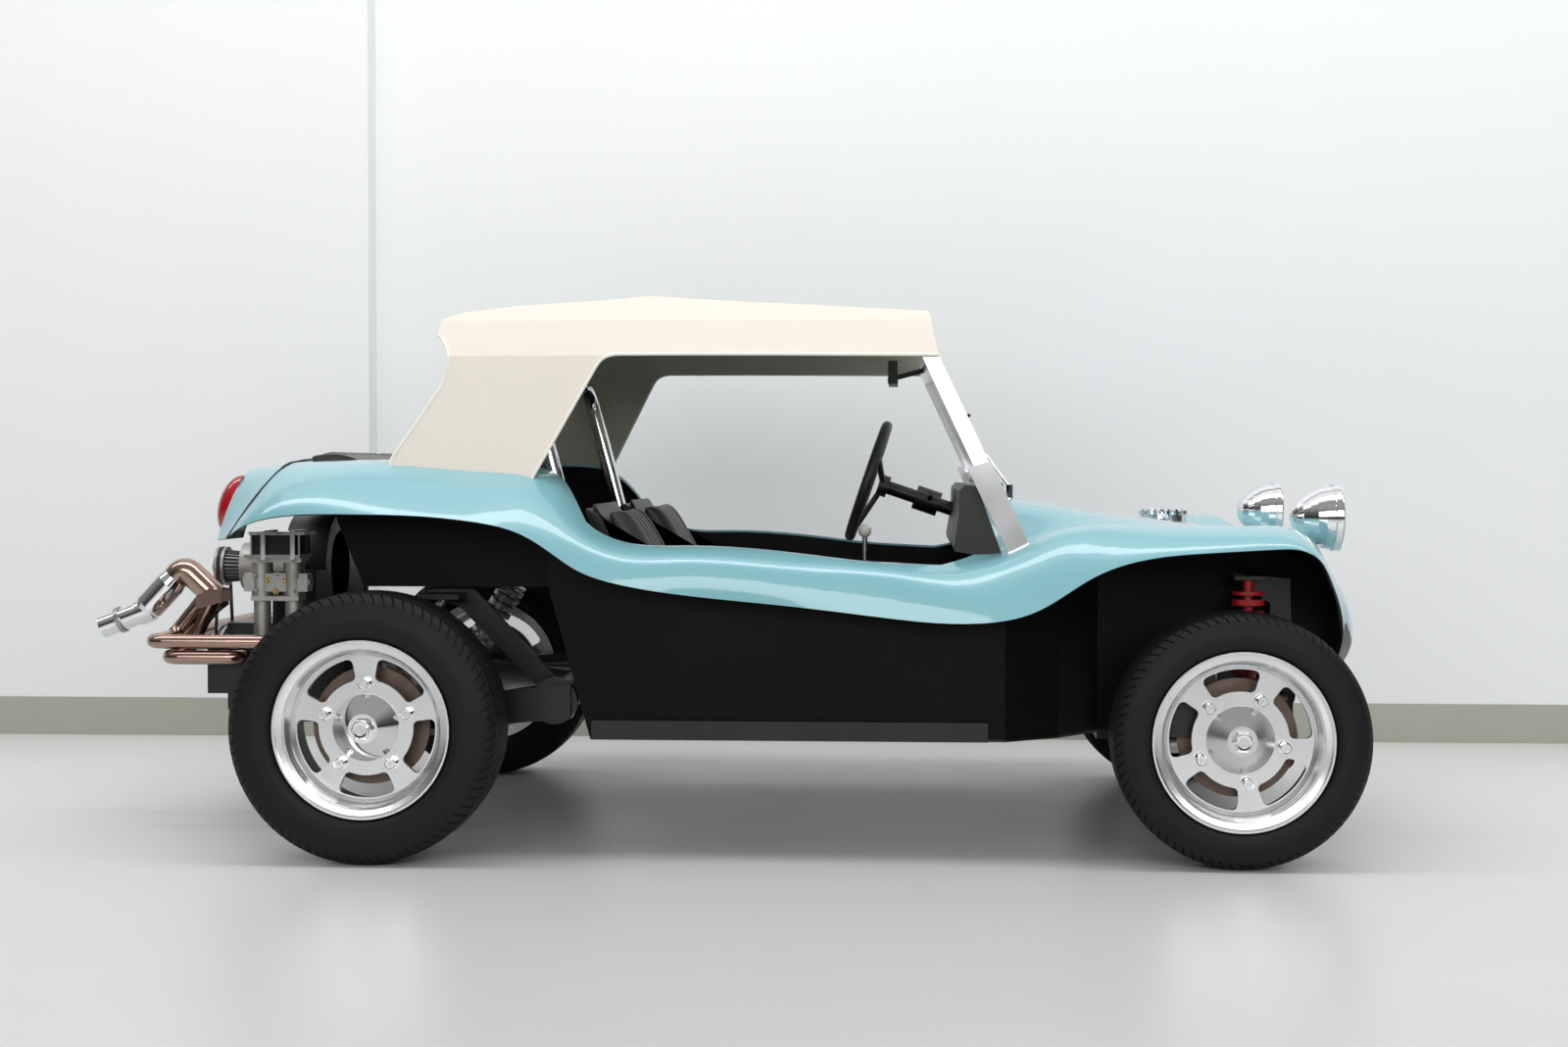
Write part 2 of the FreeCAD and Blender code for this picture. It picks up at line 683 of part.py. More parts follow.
def rim_points(end):
    """Lip, bowl and spoke face, then the barrel from behind."""
    half = f"{end}_tyre_width / 2 - rim_inset"
    face = f"{half} - dish_depth"
    back = f"{face} - disc_thickness"
    return [(f"{half}", "rim_radius"), (f"{half}", "rim_radius - 0.5 * flange_thickness"),
            (f"{half} - 0.3 * flange_thickness", "rim_radius - flange_thickness"),
            (f"{half} - 0.7 * flange_thickness", "barrel_radius + 0.6 * flange_thickness"),
            (f"{half} - 1.6 * flange_thickness", "barrel_radius"),
            (f"{half} - 0.55 * dish_depth", "barrel_radius - 0.25 * flange_thickness"),
            (f"{face} + 0.12 * dish_depth", "barrel_radius - 0.7 * flange_thickness"),
            (face, "barrel_radius - 1.6 * flange_thickness"), (face, "centre_bore"), (back, "centre_bore"),
            (back, "barrel_radius"), (f"-({half})", "barrel_radius + flange_thickness / 3"),
            (f"-({half})", "rim_radius"), (f"-({half} - flange_thickness)", "rim_radius"),
            (f"-({half} - flange_thickness)", "bead_radius"), (f"{half} - flange_thickness", "bead_radius"),
            (f"{half} - flange_thickness", "rim_radius")]


def slot_corners(solid):
    """Edges at the slots' corners: the ones that run along the axle between the slots' two radii."""
    names = []
    for i, edge in enumerate(solid.Shape.Edges, 1):
        first, last = edge.Vertexes[0].Point, edge.Vertexes[-1].Point
        level = abs(first.y - last.y) < GAP and abs(first.z - last.z) < GAP
        reach = math.hypot(first.y, first.z)
        if level and abs(first.x - last.x) > GAP and mm("slot_inner") - GAP < reach < mm("slot_outer") + GAP:
            names.append(f"Edge{i}")
    return names


def slotted_rim(label, end):
    """Rim with annular slots between its spokes, their corners rounded."""
    body = turned_body(label, rim_points(end))
    face = f"{end}_tyre_width / 2 - rim_inset - dish_depth"
    front = f"{face} + dish_depth / 4"
    window = sketch_of([(front, "slot_inner"), (front, "slot_outer"),
                        (f"{face} - 1.5 * disc_thickness", "slot_outer"),
                        (f"{face} - 1.5 * disc_thickness", "slot_inner")], body)
    window.AttachmentSupport = [(plane_of(body, "XY_Plane"), "")]
    window.MapMode = "FlatFace"
    body.recompute(True)
    groove = body.newObject("PartDesign::Groove", "Slot")
    groove.Profile = window
    groove.ReferenceAxis = (window, ["H_Axis"])
    groove.Midplane = True
    bind(groove, "Angle", "slot_angle")
    body.Tip = groove
    body.recompute(True)
    slots = body.newObject("PartDesign::PolarPattern", "Slots")
    slots.Originals = [groove]
    slots.Axis = (plane_of(body, "X_Axis"), [""])
    slots.Angle = 360
    slots.Occurrences = 5
    body.Tip = slots
    body.recompute(True)
    corners = body.newObject("PartDesign::Fillet", "SlotCorners")
    corners.Base = (slots, slot_corners(slots))
    bind(corners, "Radius", "slot_corner")
    body.Tip = corners
    return body


def lug_nuts(end):
    """Five lug nuts on the spokes and the centre cap with its hexagon, in the wheel's own frame."""
    face = f"{end}_tyre_width / 2 - rim_inset - dish_depth"
    pieces = []
    for i in range(5):
        turn = math.radians(72 * i + 36)
        nut = doc.addObject("Part::Prism", "Nut")
        nut.Polygon = 6
        bind(nut, "Circumradius", "lug_radius")
        bind(nut, "Height", "lug_height")
        put(nut, face, f"lug_circle / 2 * {math.cos(turn):.6f}", f"lug_circle / 2 * {math.sin(turn):.6f}",
            TURN_TO["X"])
        pieces.append(nut)
    cap = cone("cap_radius", "cap_top_radius", "cap_height", face, "0", "0", "X")
    hexagon = doc.addObject("Part::Prism", "CapNut")
    hexagon.Polygon = 6
    bind(hexagon, "Circumradius", "cap_nut_radius")
    bind(hexagon, "Height", "cap_nut_height")
    put(hexagon, f"{face} + cap_height", "0", "0", TURN_TO["X"])
    return pieces + [cap, hexagon]


def hub_points(end):
    """Brake disc, hat and hub flange, from the wheel disc's back face inwards."""
    back = f"{end}_tyre_width / 2 - rim_inset - dish_depth - disc_thickness"
    inner = f"{back} - hat_depth"
    return [(back, "0"), (back, "hat_radius"), (f"{inner} + brake_thickness", "hat_radius"),
            (f"{inner} + brake_thickness", "brake_radius"), (inner, "brake_radius"), (inner, "0")]


WHEELS = {"fl": (True, 1, 62.7), "fr": (True, -1, 62.7), "rl": (False, 1, 90.6), "rr": (False, -1, 90.6)}
LUG_PHASE = 36
for corner, (front, side, phase) in WHEELS.items():
    end = "front" if front else "rear"
    place = wheel_pose(front, side, phase - LUG_PHASE)
    tyre = turned_body("TyreForm", tyre_points(end))
    rim = fused(slotted_rim("RimForm", end), *lug_nuts(end))
    hub = turned_body("HubForm", hub_points(end))
    for kind, piece in (("tyre", tyre), ("rim", rim), ("brake_disc", hub)):
        put(piece, *place[:3], place[3])
        node(f"{kind}_{corner}", piece)

# Floor pan with its tunnel and sill rails, shaped round the torsion housing

FLOOR_SHARES = [(0.2495, 1.0), (0.735, 1.0), (0.80, 0.86), (0.850, 0.67)]
TUNNEL_SHARES = (0.205, 0.862)
SILL_SHARES = (0.252, 0.715)
TORSION_PLACE = ("torsion_ahead - rear_axle_back", "-torsion_half", "torsion_height")


def long_box(shares, width, height, y):
    """Box between two places along the car, standing on the floor pan's underside."""
    low, high = shares
    foot = "floor_height - floor_wall"
    return box(f"{high - low:.4f} * wheelbase", width, height, at((low + high) / 2), y, foot)


def floor_form():
    right = [(at(x), f"-{y} * tub_half_width") for x, y in FLOOR_SHARES]
    left = [(at(x), f"{y} * tub_half_width") for x, y in FLOOR_SHARES[::-1]]
    pan = plan_block(right + left, "floor_height - floor_wall", "floor_height")
    rails = []
    for side in ("", "-"):
        edge = f"{side}(tub_half_width + tub_wall / 2)"
        rails.append(long_box(SILL_SHARES, "tub_wall", "sill_height", edge))
        rails.append(long_box(SILL_SHARES, "2 * tub_wall", "floor_wall", f"{side}tub_half_width"))
    whole = fused(pan, long_box(TUNNEL_SHARES, "tunnel_width", "tunnel_height", "0"), *rails)
    return cut(whole, rod("torsion_radius", "2 * torsion_half", *TORSION_PLACE, "Y"))


floor_pan = node("floor_pan", floor_form())

# Rear seat in its well, and the two bucket seats

REAR_SEAT_SHARES = [(-0.028, 0.6843), (0.170, 0.6843), (0.172, 0.76), (0.020, 0.78), (-0.025, 1.0),
                    (-0.050, 1.042), (-0.098, 1.038), (-0.108, 1.022), (-0.060, 1.021), (-0.050, 0.86)]
SEAT_SHARES = [(0.303, 0.3025), (0.288, 0.60), (0.236, 0.855), (0.244, 0.872), (0.264, 0.872), (0.325, 0.60),
               (0.345, 0.50), (0.500, 0.545), (0.520, 0.50), (0.515, 0.3025)]
SEAT_HOLLOW_SHARES = [(0.264, 0.90), (0.302, 0.60), (0.327, 0.46), (0.54, 0.50), (0.54, 0.9)]


def seat(side):
    """Bucket seat: a side outline with raised bolsters."""
    middle = f"{side} * seat_side"
    block = side_block(SEAT_SHARES, f"{middle} - seat_width / 2", f"{middle} + seat_width / 2")
    right, left = f"{middle} - 0.35 * seat_width", f"{middle} + 0.35 * seat_width"
    return cut(block, side_block(SEAT_HOLLOW_SHARES, right, left))


node("rear_seat", side_block(REAR_SEAT_SHARES, "tub_wall - rear_well_half", "rear_well_half - tub_wall"))
node("seat_left", seat(1))
node("seat_right", seat(-1))

# Steering knuckles: kingpin post, spindle, rearward steering arm and brake caliper

AXLE_F = "front_tyre_radius"
ARM_REST = "(arm_spacing - arm_eye_height) / 2"
FRONT_HUB = "(front_track / 2 + front_tyre_width / 2 - rim_inset - dish_depth - disc_thickness - hat_depth)"


def knuckle():
    """Right-hand knuckle, made with its Y outwards; the left one is its mirror image."""
    post = rod("kingpin_radius", "arm_spacing - arm_eye_height - 2 * fit_gap", FRONT, "-kingpin_half",
               f"{AXLE_F} - {ARM_REST} + fit_gap")
    spindle = rod("spindle_radius", f"{FRONT_HUB} - kingpin_half - fit_gap", FRONT,
                  f"-{FRONT_HUB} + fit_gap", AXLE_F, "Y")
    arm = box("steer_arm", "1.6 * kingpin_radius", "kingpin_radius / 2", f"{FRONT} - steer_arm / 2",
              "-kingpin_half + kingpin_radius", AXLE_F)
    eye = rod("kingpin_radius", "kingpin_radius / 2", f"{FRONT} - steer_arm",
              "-kingpin_half + kingpin_radius", AXLE_F)
    carrier = box("brake_radius", "kingpin_radius", "spindle_radius",
                  f"{FRONT} - brake_radius / 2", f"-{FRONT_HUB} + kingpin_radius",
                  f"{AXLE_F} + spindle_radius / 2")
    clamp = box("caliper_width", "brake_thickness + hat_depth / 2", "1.5 * caliper_width",
                f"{FRONT} - brake_radius + caliper_width / 4", f"-{FRONT_HUB} - brake_thickness / 2",
                f"{AXLE_F} + fit_gap")
    throat = rod("brake_radius + pad_gap", "brake_thickness + 2 * pad_gap", FRONT,
                 f"-{FRONT_HUB} - brake_thickness - pad_gap", AXLE_F, "Y")
    return fused(post, spindle, arm, eye, carrier, cut(clamp, throat))


node("knuckle_right", knuckle())
node("knuckle_left", mirrored(knuckle()))

# Tie rod: a bar between the two steering arms with an eye at each end


def tie_rod():
    y = "(kingpin_half - kingpin_radius)"
    z = f"{AXLE_F} + kingpin_radius / 2 + fit_gap"
    x = f"{FRONT} - steer_arm"
    eyes = [rod("0.9 * kingpin_radius", "kingpin_radius", x, f"{side}{y}", z) for side in ("-", "")]
    return fused(rod("tie_rod_radius", f"2 * {y}", x, f"-{y}", f"{z} + kingpin_radius / 2", "Y"), *eyes)


node("tie_rods", tie_rod())

# Gearbox with its side shafts

AXLE_Z = "rear_tyre_radius"


def gearbox():
    nose = "torsion_ahead - torsion_radius - 2 * fit_gap"
    middle = f"{REAR} - 0.6 * gearbox_radius"
    pieces = [cone("0.85 * gearbox_radius", "0.55 * gearbox_radius", nose, REAR, "0", AXLE_Z, "X"),
              cone("0.9 * gearbox_radius", "1.25 * gearbox_radius", "engine_behind", REAR, "0", AXLE_Z, "-X"),
              rod("0.95 * gearbox_radius", "1.2 * gearbox_radius", middle, "0", AXLE_Z, "X")]
    for way in ("Y", "-Y"):
        sign = way[:-1]
        pieces.append(rod("3.4 * half_shaft_radius", "1.4 * gearbox_radius", REAR, "0", AXLE_Z, way))
        pieces.append(cone("3.2 * half_shaft_radius", "1.6 * half_shaft_radius", "0.5 * gearbox_radius",
                           REAR, f"{sign}1.4 * gearbox_radius", AXLE_Z, way))
        pieces.append(rod("half_shaft_radius", "torsion_half - torsion_radius", REAR, "0", AXLE_Z, way))
    return fused(*pieces)


node("transaxle", gearbox())

# Engine: case with its barrels and heads, fan shroud, carburettors, alternator and pulleys

CRANK_Z = "crank_height"
ENGINE_FRONT = f"({REAR} - engine_behind - fit_gap)"
ENGINE_REAR = f"({ENGINE_FRONT} - engine_length)"
ENGINE_MIDDLE = f"{ENGINE_FRONT} - engine_length / 2"
BARREL_SHARES = (0.30, 0.70)
FIN_COUNT = 5


def barrels(side, way):
    """Two finned barrels and their head on one side of the case."""
    pieces = []
    for share in BARREL_SHARES:
        x = f"{ENGINE_FRONT} - {share} * engine_length"
        pieces.append(rod("0.13 * engine_length", "barrel_length + 0.2 * engine_half_width", x,
                          f"{side}0.8 * engine_half_width", CRANK_Z, way))
        for i in range(FIN_COUNT):
            y = f"{side}(engine_half_width + barrel_length * {(i + 0.5) / FIN_COUNT:.4f})"
            pieces.append(rod("0.165 * engine_length", "0.05 * barrel_length", x, y, CRANK_Z, way))
    pieces.append(box("0.86 * engine_length", "head_length", "0.5 * engine_case_height",
                      ENGINE_MIDDLE, f"{side}(engine_half_width + barrel_length + head_length / 2)",
                      f"{CRANK_Z} - 0.25 * engine_case_height"))
    return pieces


def engine():
    case = box("engine_length", "2 * engine_half_width", "engine_case_height", ENGINE_MIDDLE,
               "0", f"{CRANK_Z} - 0.55 * engine_case_height")
    sump = box("0.6 * engine_length", "1.6 * engine_half_width", "0.18 * engine_case_height",
               ENGINE_MIDDLE, "0", f"{CRANK_Z} - 0.70 * engine_case_height")
    nose = rod("0.06 * engine_length", "0.09 * engine_length", ENGINE_REAR, "0", CRANK_Z, "-X")
    return fused(case, sump, nose, *barrels("", "Y"), *barrels("-", "-Y"))


FAN_Z = f"({CRANK_Z} + 1.08 * engine_case_height)"
SHROUD_X = f"({ENGINE_FRONT} - 0.62 * engine_length)"
SHROUD_FOOT = f"({CRANK_Z} + 0.45 * engine_case_height + fit_gap)"


def fan_shroud():
    """Cooling box over both banks with its round fan drum, open on the fan's side."""
    tray = box("0.28 * engine_length", "2 * engine_half_width + 1.4 * barrel_length",
               "0.62 * engine_case_height", f"{SHROUD_X} + 0.14 * engine_length", "0", SHROUD_FOOT)
    drum = rod("0.62 * engine_case_height", "0.28 * engine_length", SHROUD_X, "0", FAN_Z, "X")
    mouth = rod("0.42 * engine_case_height", "0.20 * engine_length",
                f"{SHROUD_X} + 0.20 * engine_length", "0", FAN_Z, "X")
    return cut(fused(tray, drum), mouth)


PULLEY_X = f"({ENGINE_REAR} - 0.09 * engine_length - fit_gap)"
BELT_SHARE, ALTERNATOR_SHARE = 0.88, 0.62


def sheave(radius, z):
    """Pulley with a belt groove, running rearwards from its front face."""
    third = "0.3 * pulley_width"
    return fused(rod(radius, third, PULLEY_X, "0", z, "-X"),
                 rod(f"{BELT_SHARE} * {radius}", "pulley_width", PULLEY_X, "0", z, "-X"),
                 rod(radius, third, f"{PULLEY_X} - 0.7 * pulley_width", "0", z, "-X"))


def alternator():
    """Alternator ahead of the upper pulley, with its ribbed cone, its stand and its shaft nut."""
    ribs = cone("0.48 * pulley_radius", "0.43 * pulley_radius", "1.8 * pulley_width",
                PULLEY_X, "0", FAN_Z, "X")
    can = rod("0.75 * pulley_radius", f"{SHROUD_X} - fit_gap - {PULLEY_X} - 1.8 * pulley_width",
              f"{PULLEY_X} + 1.8 * pulley_width", "0", FAN_Z, "X")
    nut = rod("0.15 * pulley_radius", "1.6 * pulley_width", PULLEY_X, "0", FAN_Z, "-X")
    stand = box("0.12 * engine_length", "pulley_radius", f"{FAN_Z} - {SHROUD_FOOT}",
                f"{SHROUD_X} - 0.07 * engine_length", "0", SHROUD_FOOT)
    return fused(ribs, can, nut, stand, sheave(f"{ALTERNATOR_SHARE} * pulley_radius", FAN_Z))


CARB_X = f"({ENGINE_FRONT} - 0.515 * engine_length)"
HEAD_TOP = f"({CRANK_Z} + 0.25 * engine_case_height + fit_gap)"
CARB_FOOT = f"({CRANK_Z} + 0.77 * engine_case_height)"
CARB_TOP = f"({CRANK_Z} + 1.245 * engine_case_height)"


def carburettor(side):
    """Twin-throat carburettor with its float bowls, on a short manifold with two runners."""
    y = f"{side}(engine_half_width + barrel_length + head_length / 2)"
    pieces = [box("0.26 * engine_length", "0.8 * head_length", "0.04 * engine_case_height",
                  CARB_X, y, HEAD_TOP),
              box("0.30 * engine_length", "0.7 * head_length", "0.05 * engine_case_height",
                  CARB_X, y, CARB_FOOT),
              box("0.40 * engine_length", "0.5 * head_length", "0.20 * engine_case_height", CARB_X, y,
                  f"{CARB_FOOT} + 0.10 * engine_case_height"),
              box("0.34 * engine_length", "0.8 * head_length", "0.05 * engine_case_height", CARB_X, y,
                  f"{CARB_TOP} - 0.05 * engine_case_height"),
              rod("0.2 * head_length", "0.42 * engine_length", f"{CARB_X} - 0.21 * engine_length", y,
                  f"{CARB_FOOT} + 0.20 * engine_case_height", "X")]
    for share in (-0.10, 0.10):
        x = f"{CARB_X} + {share} * engine_length"
        pieces.append(rod("0.24 * head_length", f"{CARB_FOOT} - {HEAD_TOP}", x, y, HEAD_TOP))
        pieces.append(rod("0.3 * head_length", f"{CARB_TOP} - {CARB_FOOT}", x, y, CARB_FOOT))
    return fused(*pieces)


def air_filter(side):
    """Flat filter box: two bright plates with the pleated element between them."""
    y = f"{side}(engine_half_width + barrel_length + head_length / 2)"
    plate = ("0.35 * engine_length", "1.2 * head_length", "0.035 * engine_case_height")
    base = f"{CARB_TOP} + fit_gap"
    lid = f"{CARB_TOP} + 0.255 * engine_case_height"
    return fused(box(*plate, CARB_X, y, base), box(*plate, f"{CARB_X} + 0.03 * engine_length", y, lid),
                 box("0.31 * engine_length", "1.05 * head_length", "0.255 * engine_case_height",
                     f"{CARB_X} + 0.015 * engine_length", y, base))


def pair(left, right):
    both = doc.addObject("Part::Compound", "Pair")
    both.Links = [left, right]
    return both


node("engine_case", engine())
node("fan_shroud", fan_shroud())
node("alternator", alternator())
node("crank_pulley", sheave("pulley_radius", CRANK_Z))
node("carburettors", pair(carburettor(""), carburettor("-")))
node("air_filters", pair(air_filter(""), air_filter("-")))

# Gear lever with its cream knob and boot on the tunnel

LEVER_SHARE, KNOB_SHARE = 0.565, 0.790


def gear_lever():
    foot = "floor_height + tunnel_height - floor_wall"
    top = up(KNOB_SHARE)
    x = at(LEVER_SHARE)
    return fused(cone("2.2 * column_radius", "column_radius", "2.5 * column_radius", x, "0", foot),
                 rod("0.35 * column_radius", f"{top} - ({foot})", x, "0", foot),
                 cone("0.5 * column_radius", "0.92 * column_radius", "0.9 * column_radius", x, "0", top),
                 cone("0.92 * column_radius", "0.5 * column_radius", "0.5 * column_radius", x, "0",
                      f"{top} + 0.9 * column_radius"))


node("gear_lever", gear_lever())

# Fuel tank under the hood, between the footwell walls

TANK_SHARES = [(0.8912, 0.60), (1.035, 0.60), (1.035, 0.735), (0.8912, 0.775)]
node("fuel_tank", side_block(TANK_SHARES, "-0.55 * nose_wall_half", "0.55 * nose_wall_half"))
doc.recompute()
floor_shape = floor_pan.Shape

# Tub: side walls, wheelhouse walls, rear well and toe board, trimmed under the skin

NOSE_HALF = mm("nose_wall_half")
SIDE_LINE_SHARES = [(0.199, 1.0), (0.735, 1.0), (0.80, 0.86), (0.850, 0.672)]
NOSE_END_SHARE = 1.140
CHEEK_SHARES = [(0.197, 1.0), (0.2013, 0.677), (0.2492, 0.3015)]
CHEEK_STEP_SHARE = 0.0052
NOSE_FOOT_SHARES = [(0.905, 0.0), (0.905, 0.50), (1.15, 0.47), (1.15, 0.0)]
CHEEK_HIGH_SHARES = CHEEK_SHARES[:2] + [(x + CHEEK_STEP_SHARE, z) for x, z in CHEEK_SHARES[1::-1]]
CHEEK_LOW_SHARES = CHEEK_SHARES[1:] + [(x + CHEEK_STEP_SHARE, z) for x, z in CHEEK_SHARES[:0:-1]]
BEHIND_SHARES = [(0.10, 1.0)] + CHEEK_SHARES + [(0.2492, 0.0), (0.10, 0.0)]
WELL_SIDE_SHARES = [(-0.080, 1.01), (-0.067, 0.846), (-0.034, 0.673), (0.2013, 0.673), (0.199, 1.0)]
WELL_BACK_SHARES = [(-0.080, 1.01), (-0.067, 0.846), (-0.034, 0.673), (-0.029, 0.673), (-0.062, 0.846),
                    (-0.075, 1.01)]
WELL_FLOOR_SHARES = [(-0.034, 0.673), (0.2035, 0.673), (0.2035, 0.684), (-0.034, 0.684)]
TOE_SHARES = [(0.838, 0.302), (0.885, 0.60), (0.885, 0.94), (0.891, 0.94), (0.891, 0.60), (0.844, 0.302)]


def tub_side():
    """Right wall with the front wheelhouse wall, and the rear cheek and well side."""
    line = [(along(x), -y * TUB_HALF) for x, y in SIDE_LINE_SHARES] + [(along(NOSE_END_SHARE), -NOSE_HALF)]
    wall = slab(ribbon(line[::-1], TUB_WALL), FLOOR, DECK)
    wall = wall.cut(prism(flat(NOSE_FOOT_SHARES), -HALF, 0)).cut(prism(flat(BEHIND_SHARES), -HALF, 0))
    cheek = prism(flat(CHEEK_HIGH_SHARES), -TUB_HALF, -WELL_HALF)
    well_side = prism(flat(WELL_SIDE_SHARES), -WELL_HALF - TUB_WALL, -WELL_HALF)
    return wall.fuse([cheek, well_side])


def tub_form():
    right = tub_side()
    crossways = [prism(flat(CHEEK_LOW_SHARES), -TUB_HALF, TUB_HALF),
                 prism(flat(WELL_BACK_SHARES), -WELL_HALF, WELL_HALF),
                 prism(flat(WELL_FLOOR_SHARES), -WELL_HALF - TUB_WALL, WELL_HALF + TUB_WALL),
                 prism(flat(TOE_SHARES), -FOOT_HALF - TUB_WALL / 2, FOOT_HALF + TUB_WALL / 2)]
    under = largest(right.fuse([other_side(right)] + crossways).cut(moulding))
    return largest(under.cut([tail, floor_shape]))


tub = tub_form()
node("tub", feature(tub))

# Steering wheel and its column, on one sloping line

WHEEL_X_SHARE, WHEEL_Z_SHARE = 0.566, 0.943
COLUMN_TILT = 18.7
COL_R = mm("column_radius")
SW_R = mm("steering_wheel_radius")
GRIP = mm("steering_grip_radius")
HUB_AHEAD_SHARE = 0.25
wheel_centre = Vector(along(WHEEL_X_SHARE), mm("steering_wheel_side"), WHEEL_Z_SHARE * DECK)
column_dir = Vector(math.cos(math.radians(COLUMN_TILT)), 0, -math.sin(math.radians(COLUMN_TILT)))
hub_spot = wheel_centre + column_dir * (SW_R * HUB_AHEAD_SHARE)
column_start = hub_spot + column_dir * (SW_R * 0.08 + GAP)

BEAM = FX + mm("arm_reach")
AXLE_HEIGHT = mm("front_tyre_radius")
ARM_Z = mm("arm_spacing") / 2
BEAM_R = mm("beam_radius")
COLUMN_END_SHARE, BOX_SIDE_SHARE = 0.800, 1.2


def steering_wheel():
    """Grip ring, hub and three spokes."""
    grip = Part.makeTorus(SW_R - GRIP, GRIP, wheel_centre, column_dir)
    hub = Part.makeCylinder(COL_R * 1.6, SW_R * 0.16, hub_spot - column_dir * (SW_R * 0.08), column_dir)
    rise = Vector(0, 1, 0).cross(column_dir)
    spokes = []
    for angle in (90, 210, 330):
        reach = Vector(0, 1, 0) * math.cos(math.radians(angle)) + rise * math.sin(math.radians(angle))
        spokes.append(bar(hub_spot, wheel_centre + reach * (SW_R - GRIP), GRIP * 0.55))
    return grip.fuse([hub] + spokes)


def steering_column():
    """Column with its switch housing and stalk, the lower shaft and the steering box."""
    length = (along(COLUMN_END_SHARE) - column_start.x) / column_dir.x
    end = column_start + column_dir * length
    box_spot = Vector(BEAM - BEAM_R * 0.2, mm("tunnel_width") * BOX_SIDE_SHARE,
                      AXLE_HEIGHT + ARM_Z + BEAM_R * 1.6)
    stalk = column_start + column_dir * (SW_R * 0.7)
    column = Part.makeCylinder(COL_R, length, column_start, column_dir)
    housing = column_start + column_dir * (SW_R * 0.45)
    return column.fuse([Part.makeCylinder(COL_R * 1.8, SW_R * 0.40, housing, column_dir),
                        bar(end - column_dir * COL_R, box_spot, COL_R * 0.6),
                        Part.makeCylinder(COL_R * 2.2, BEAM_R * 2.6, box_spot - Vector(0, 0, BEAM_R * 1.2)),
                        bar(stalk, stalk + Vector(0, -SW_R * 0.5, SW_R * 0.13), COL_R * 0.35)])


# Front beam: two cross tubes, shock towers, trailing arms with their eyes, and the frame head

BEAM_OUT = mm("beam_half")
KING = mm("kingpin_half")
EYE_R = mm("arm_eye_radius")
EYE_H = mm("arm_eye_height")
SHOCK_X_SHARE, SHOCK_Y_SHARE, SHOCK_TOP_SHARE = 0.36, 0.806, 0.697
HEAD_SHARE = 0.862
shock_x = FX + SHOCK_X_SHARE * mm("arm_reach")
shock_y = SHOCK_Y_SHARE * KING
shock_top = SHOCK_TOP_SHARE * DECK


def beam_side():
    """Right end of the front suspension that stands still while the wheel steers."""
    pieces = []
    for z in (AXLE_HEIGHT - ARM_Z, AXLE_HEIGHT + ARM_Z):
        elbow = Vector(BEAM, -BEAM_OUT - BEAM_R / 2, z)
        pieces.append(bar((BEAM, -BEAM_OUT + BEAM_R, z), elbow, BEAM_R * 0.8))
        pieces.append(bar(elbow, (FX, -KING, z), EYE_R * 0.52))
        pieces.append(Part.makeCylinder(EYE_R, EYE_H, Vector(FX, -KING, z - EYE_H / 2)))
    tower = prism([(BEAM - BEAM_R, AXLE_HEIGHT - ARM_Z), (BEAM + BEAM_R, AXLE_HEIGHT - ARM_Z),
                   (BEAM + BEAM_R * 0.6, shock_top), (shock_x - BEAM_R, shock_top + BEAM_R * 0.4),
                   (shock_x - BEAM_R, shock_top), (BEAM - BEAM_R, shock_top - 2 * BEAM_R)],
                  -BEAM_OUT + BEAM_R * 0.4, -BEAM_OUT + BEAM_R * 0.8)
    shelf = Part.makeBox(2.4 * BEAM_R, shock_y + BEAM_R - BEAM_OUT + BEAM_R * 0.8, BEAM_R * 0.3,
                         Vector(shock_x - 1.2 * BEAM_R, -shock_y - BEAM_R, shock_top))
    low = AXLE_HEIGHT - ARM_Z
    arm_y = KING + (BEAM_OUT + BEAM_R / 2 - KING) * SHOCK_X_SHARE
    peg = bar((shock_x, -arm_y, low), (shock_x, -shock_y + EYE_R, low), EYE_R * 0.4)
    return pieces[0].fuse(pieces[1:] + [tower, shelf, peg])


def front_beam():
    right = beam_side()
    heights = (AXLE_HEIGHT - ARM_Z, AXLE_HEIGHT + ARM_Z)
    cross = [bar((BEAM, -BEAM_OUT, z), (BEAM, BEAM_OUT, z), BEAM_R) for z in heights]
    width = mm("tunnel_width")
    head = Part.makeBox(BEAM - along(HEAD_SHARE), 2.2 * width, BEAM_R * 2,
                        Vector(along(HEAD_SHARE), -1.1 * width, FLOOR - BEAM_R * 2))
    web = Part.makeBox(BEAM_R, width, 2 * ARM_Z, Vector(BEAM - BEAM_R / 2, -width / 2, AXLE_HEIGHT - ARM_Z))
    return largest(right.fuse([other_side(right), head, web] + cross).cut([tub, floor_shape]))


beam = front_beam()
node("front_beam", feature(beam))
node("steering_wheel", feature(steering_wheel()))
column = largest(steering_column().cut([beam, tub]))
node("steering_column", feature(column))

# Dash across the cockpit under the cowl, its ends shaped like the gusset beside the windscreen

DASH_SHARES = [(0.6826, 0.9236), (0.689, 0.938), (0.703, 0.936), (0.7343, 0.752), (0.7244, 0.752),
               (0.6767, 0.770), (0.6757, 0.780), (0.6816, 0.861)]
DASH_HALF_SHARE = 0.72
dash = prism(flat(DASH_SHARES), -DASH_HALF_SHARE * HALF, DASH_HALF_SHARE * HALF)
dash = largest(dash.cut([body_nose, tub, column]))
node("dash", feature(dash))

# Hard top: its outer form is a loft trimmed by the side outline, hollowed and open below and ahead

TOP_RISE = mm("top_rise")
TOP_WALL = mm("top_wall")
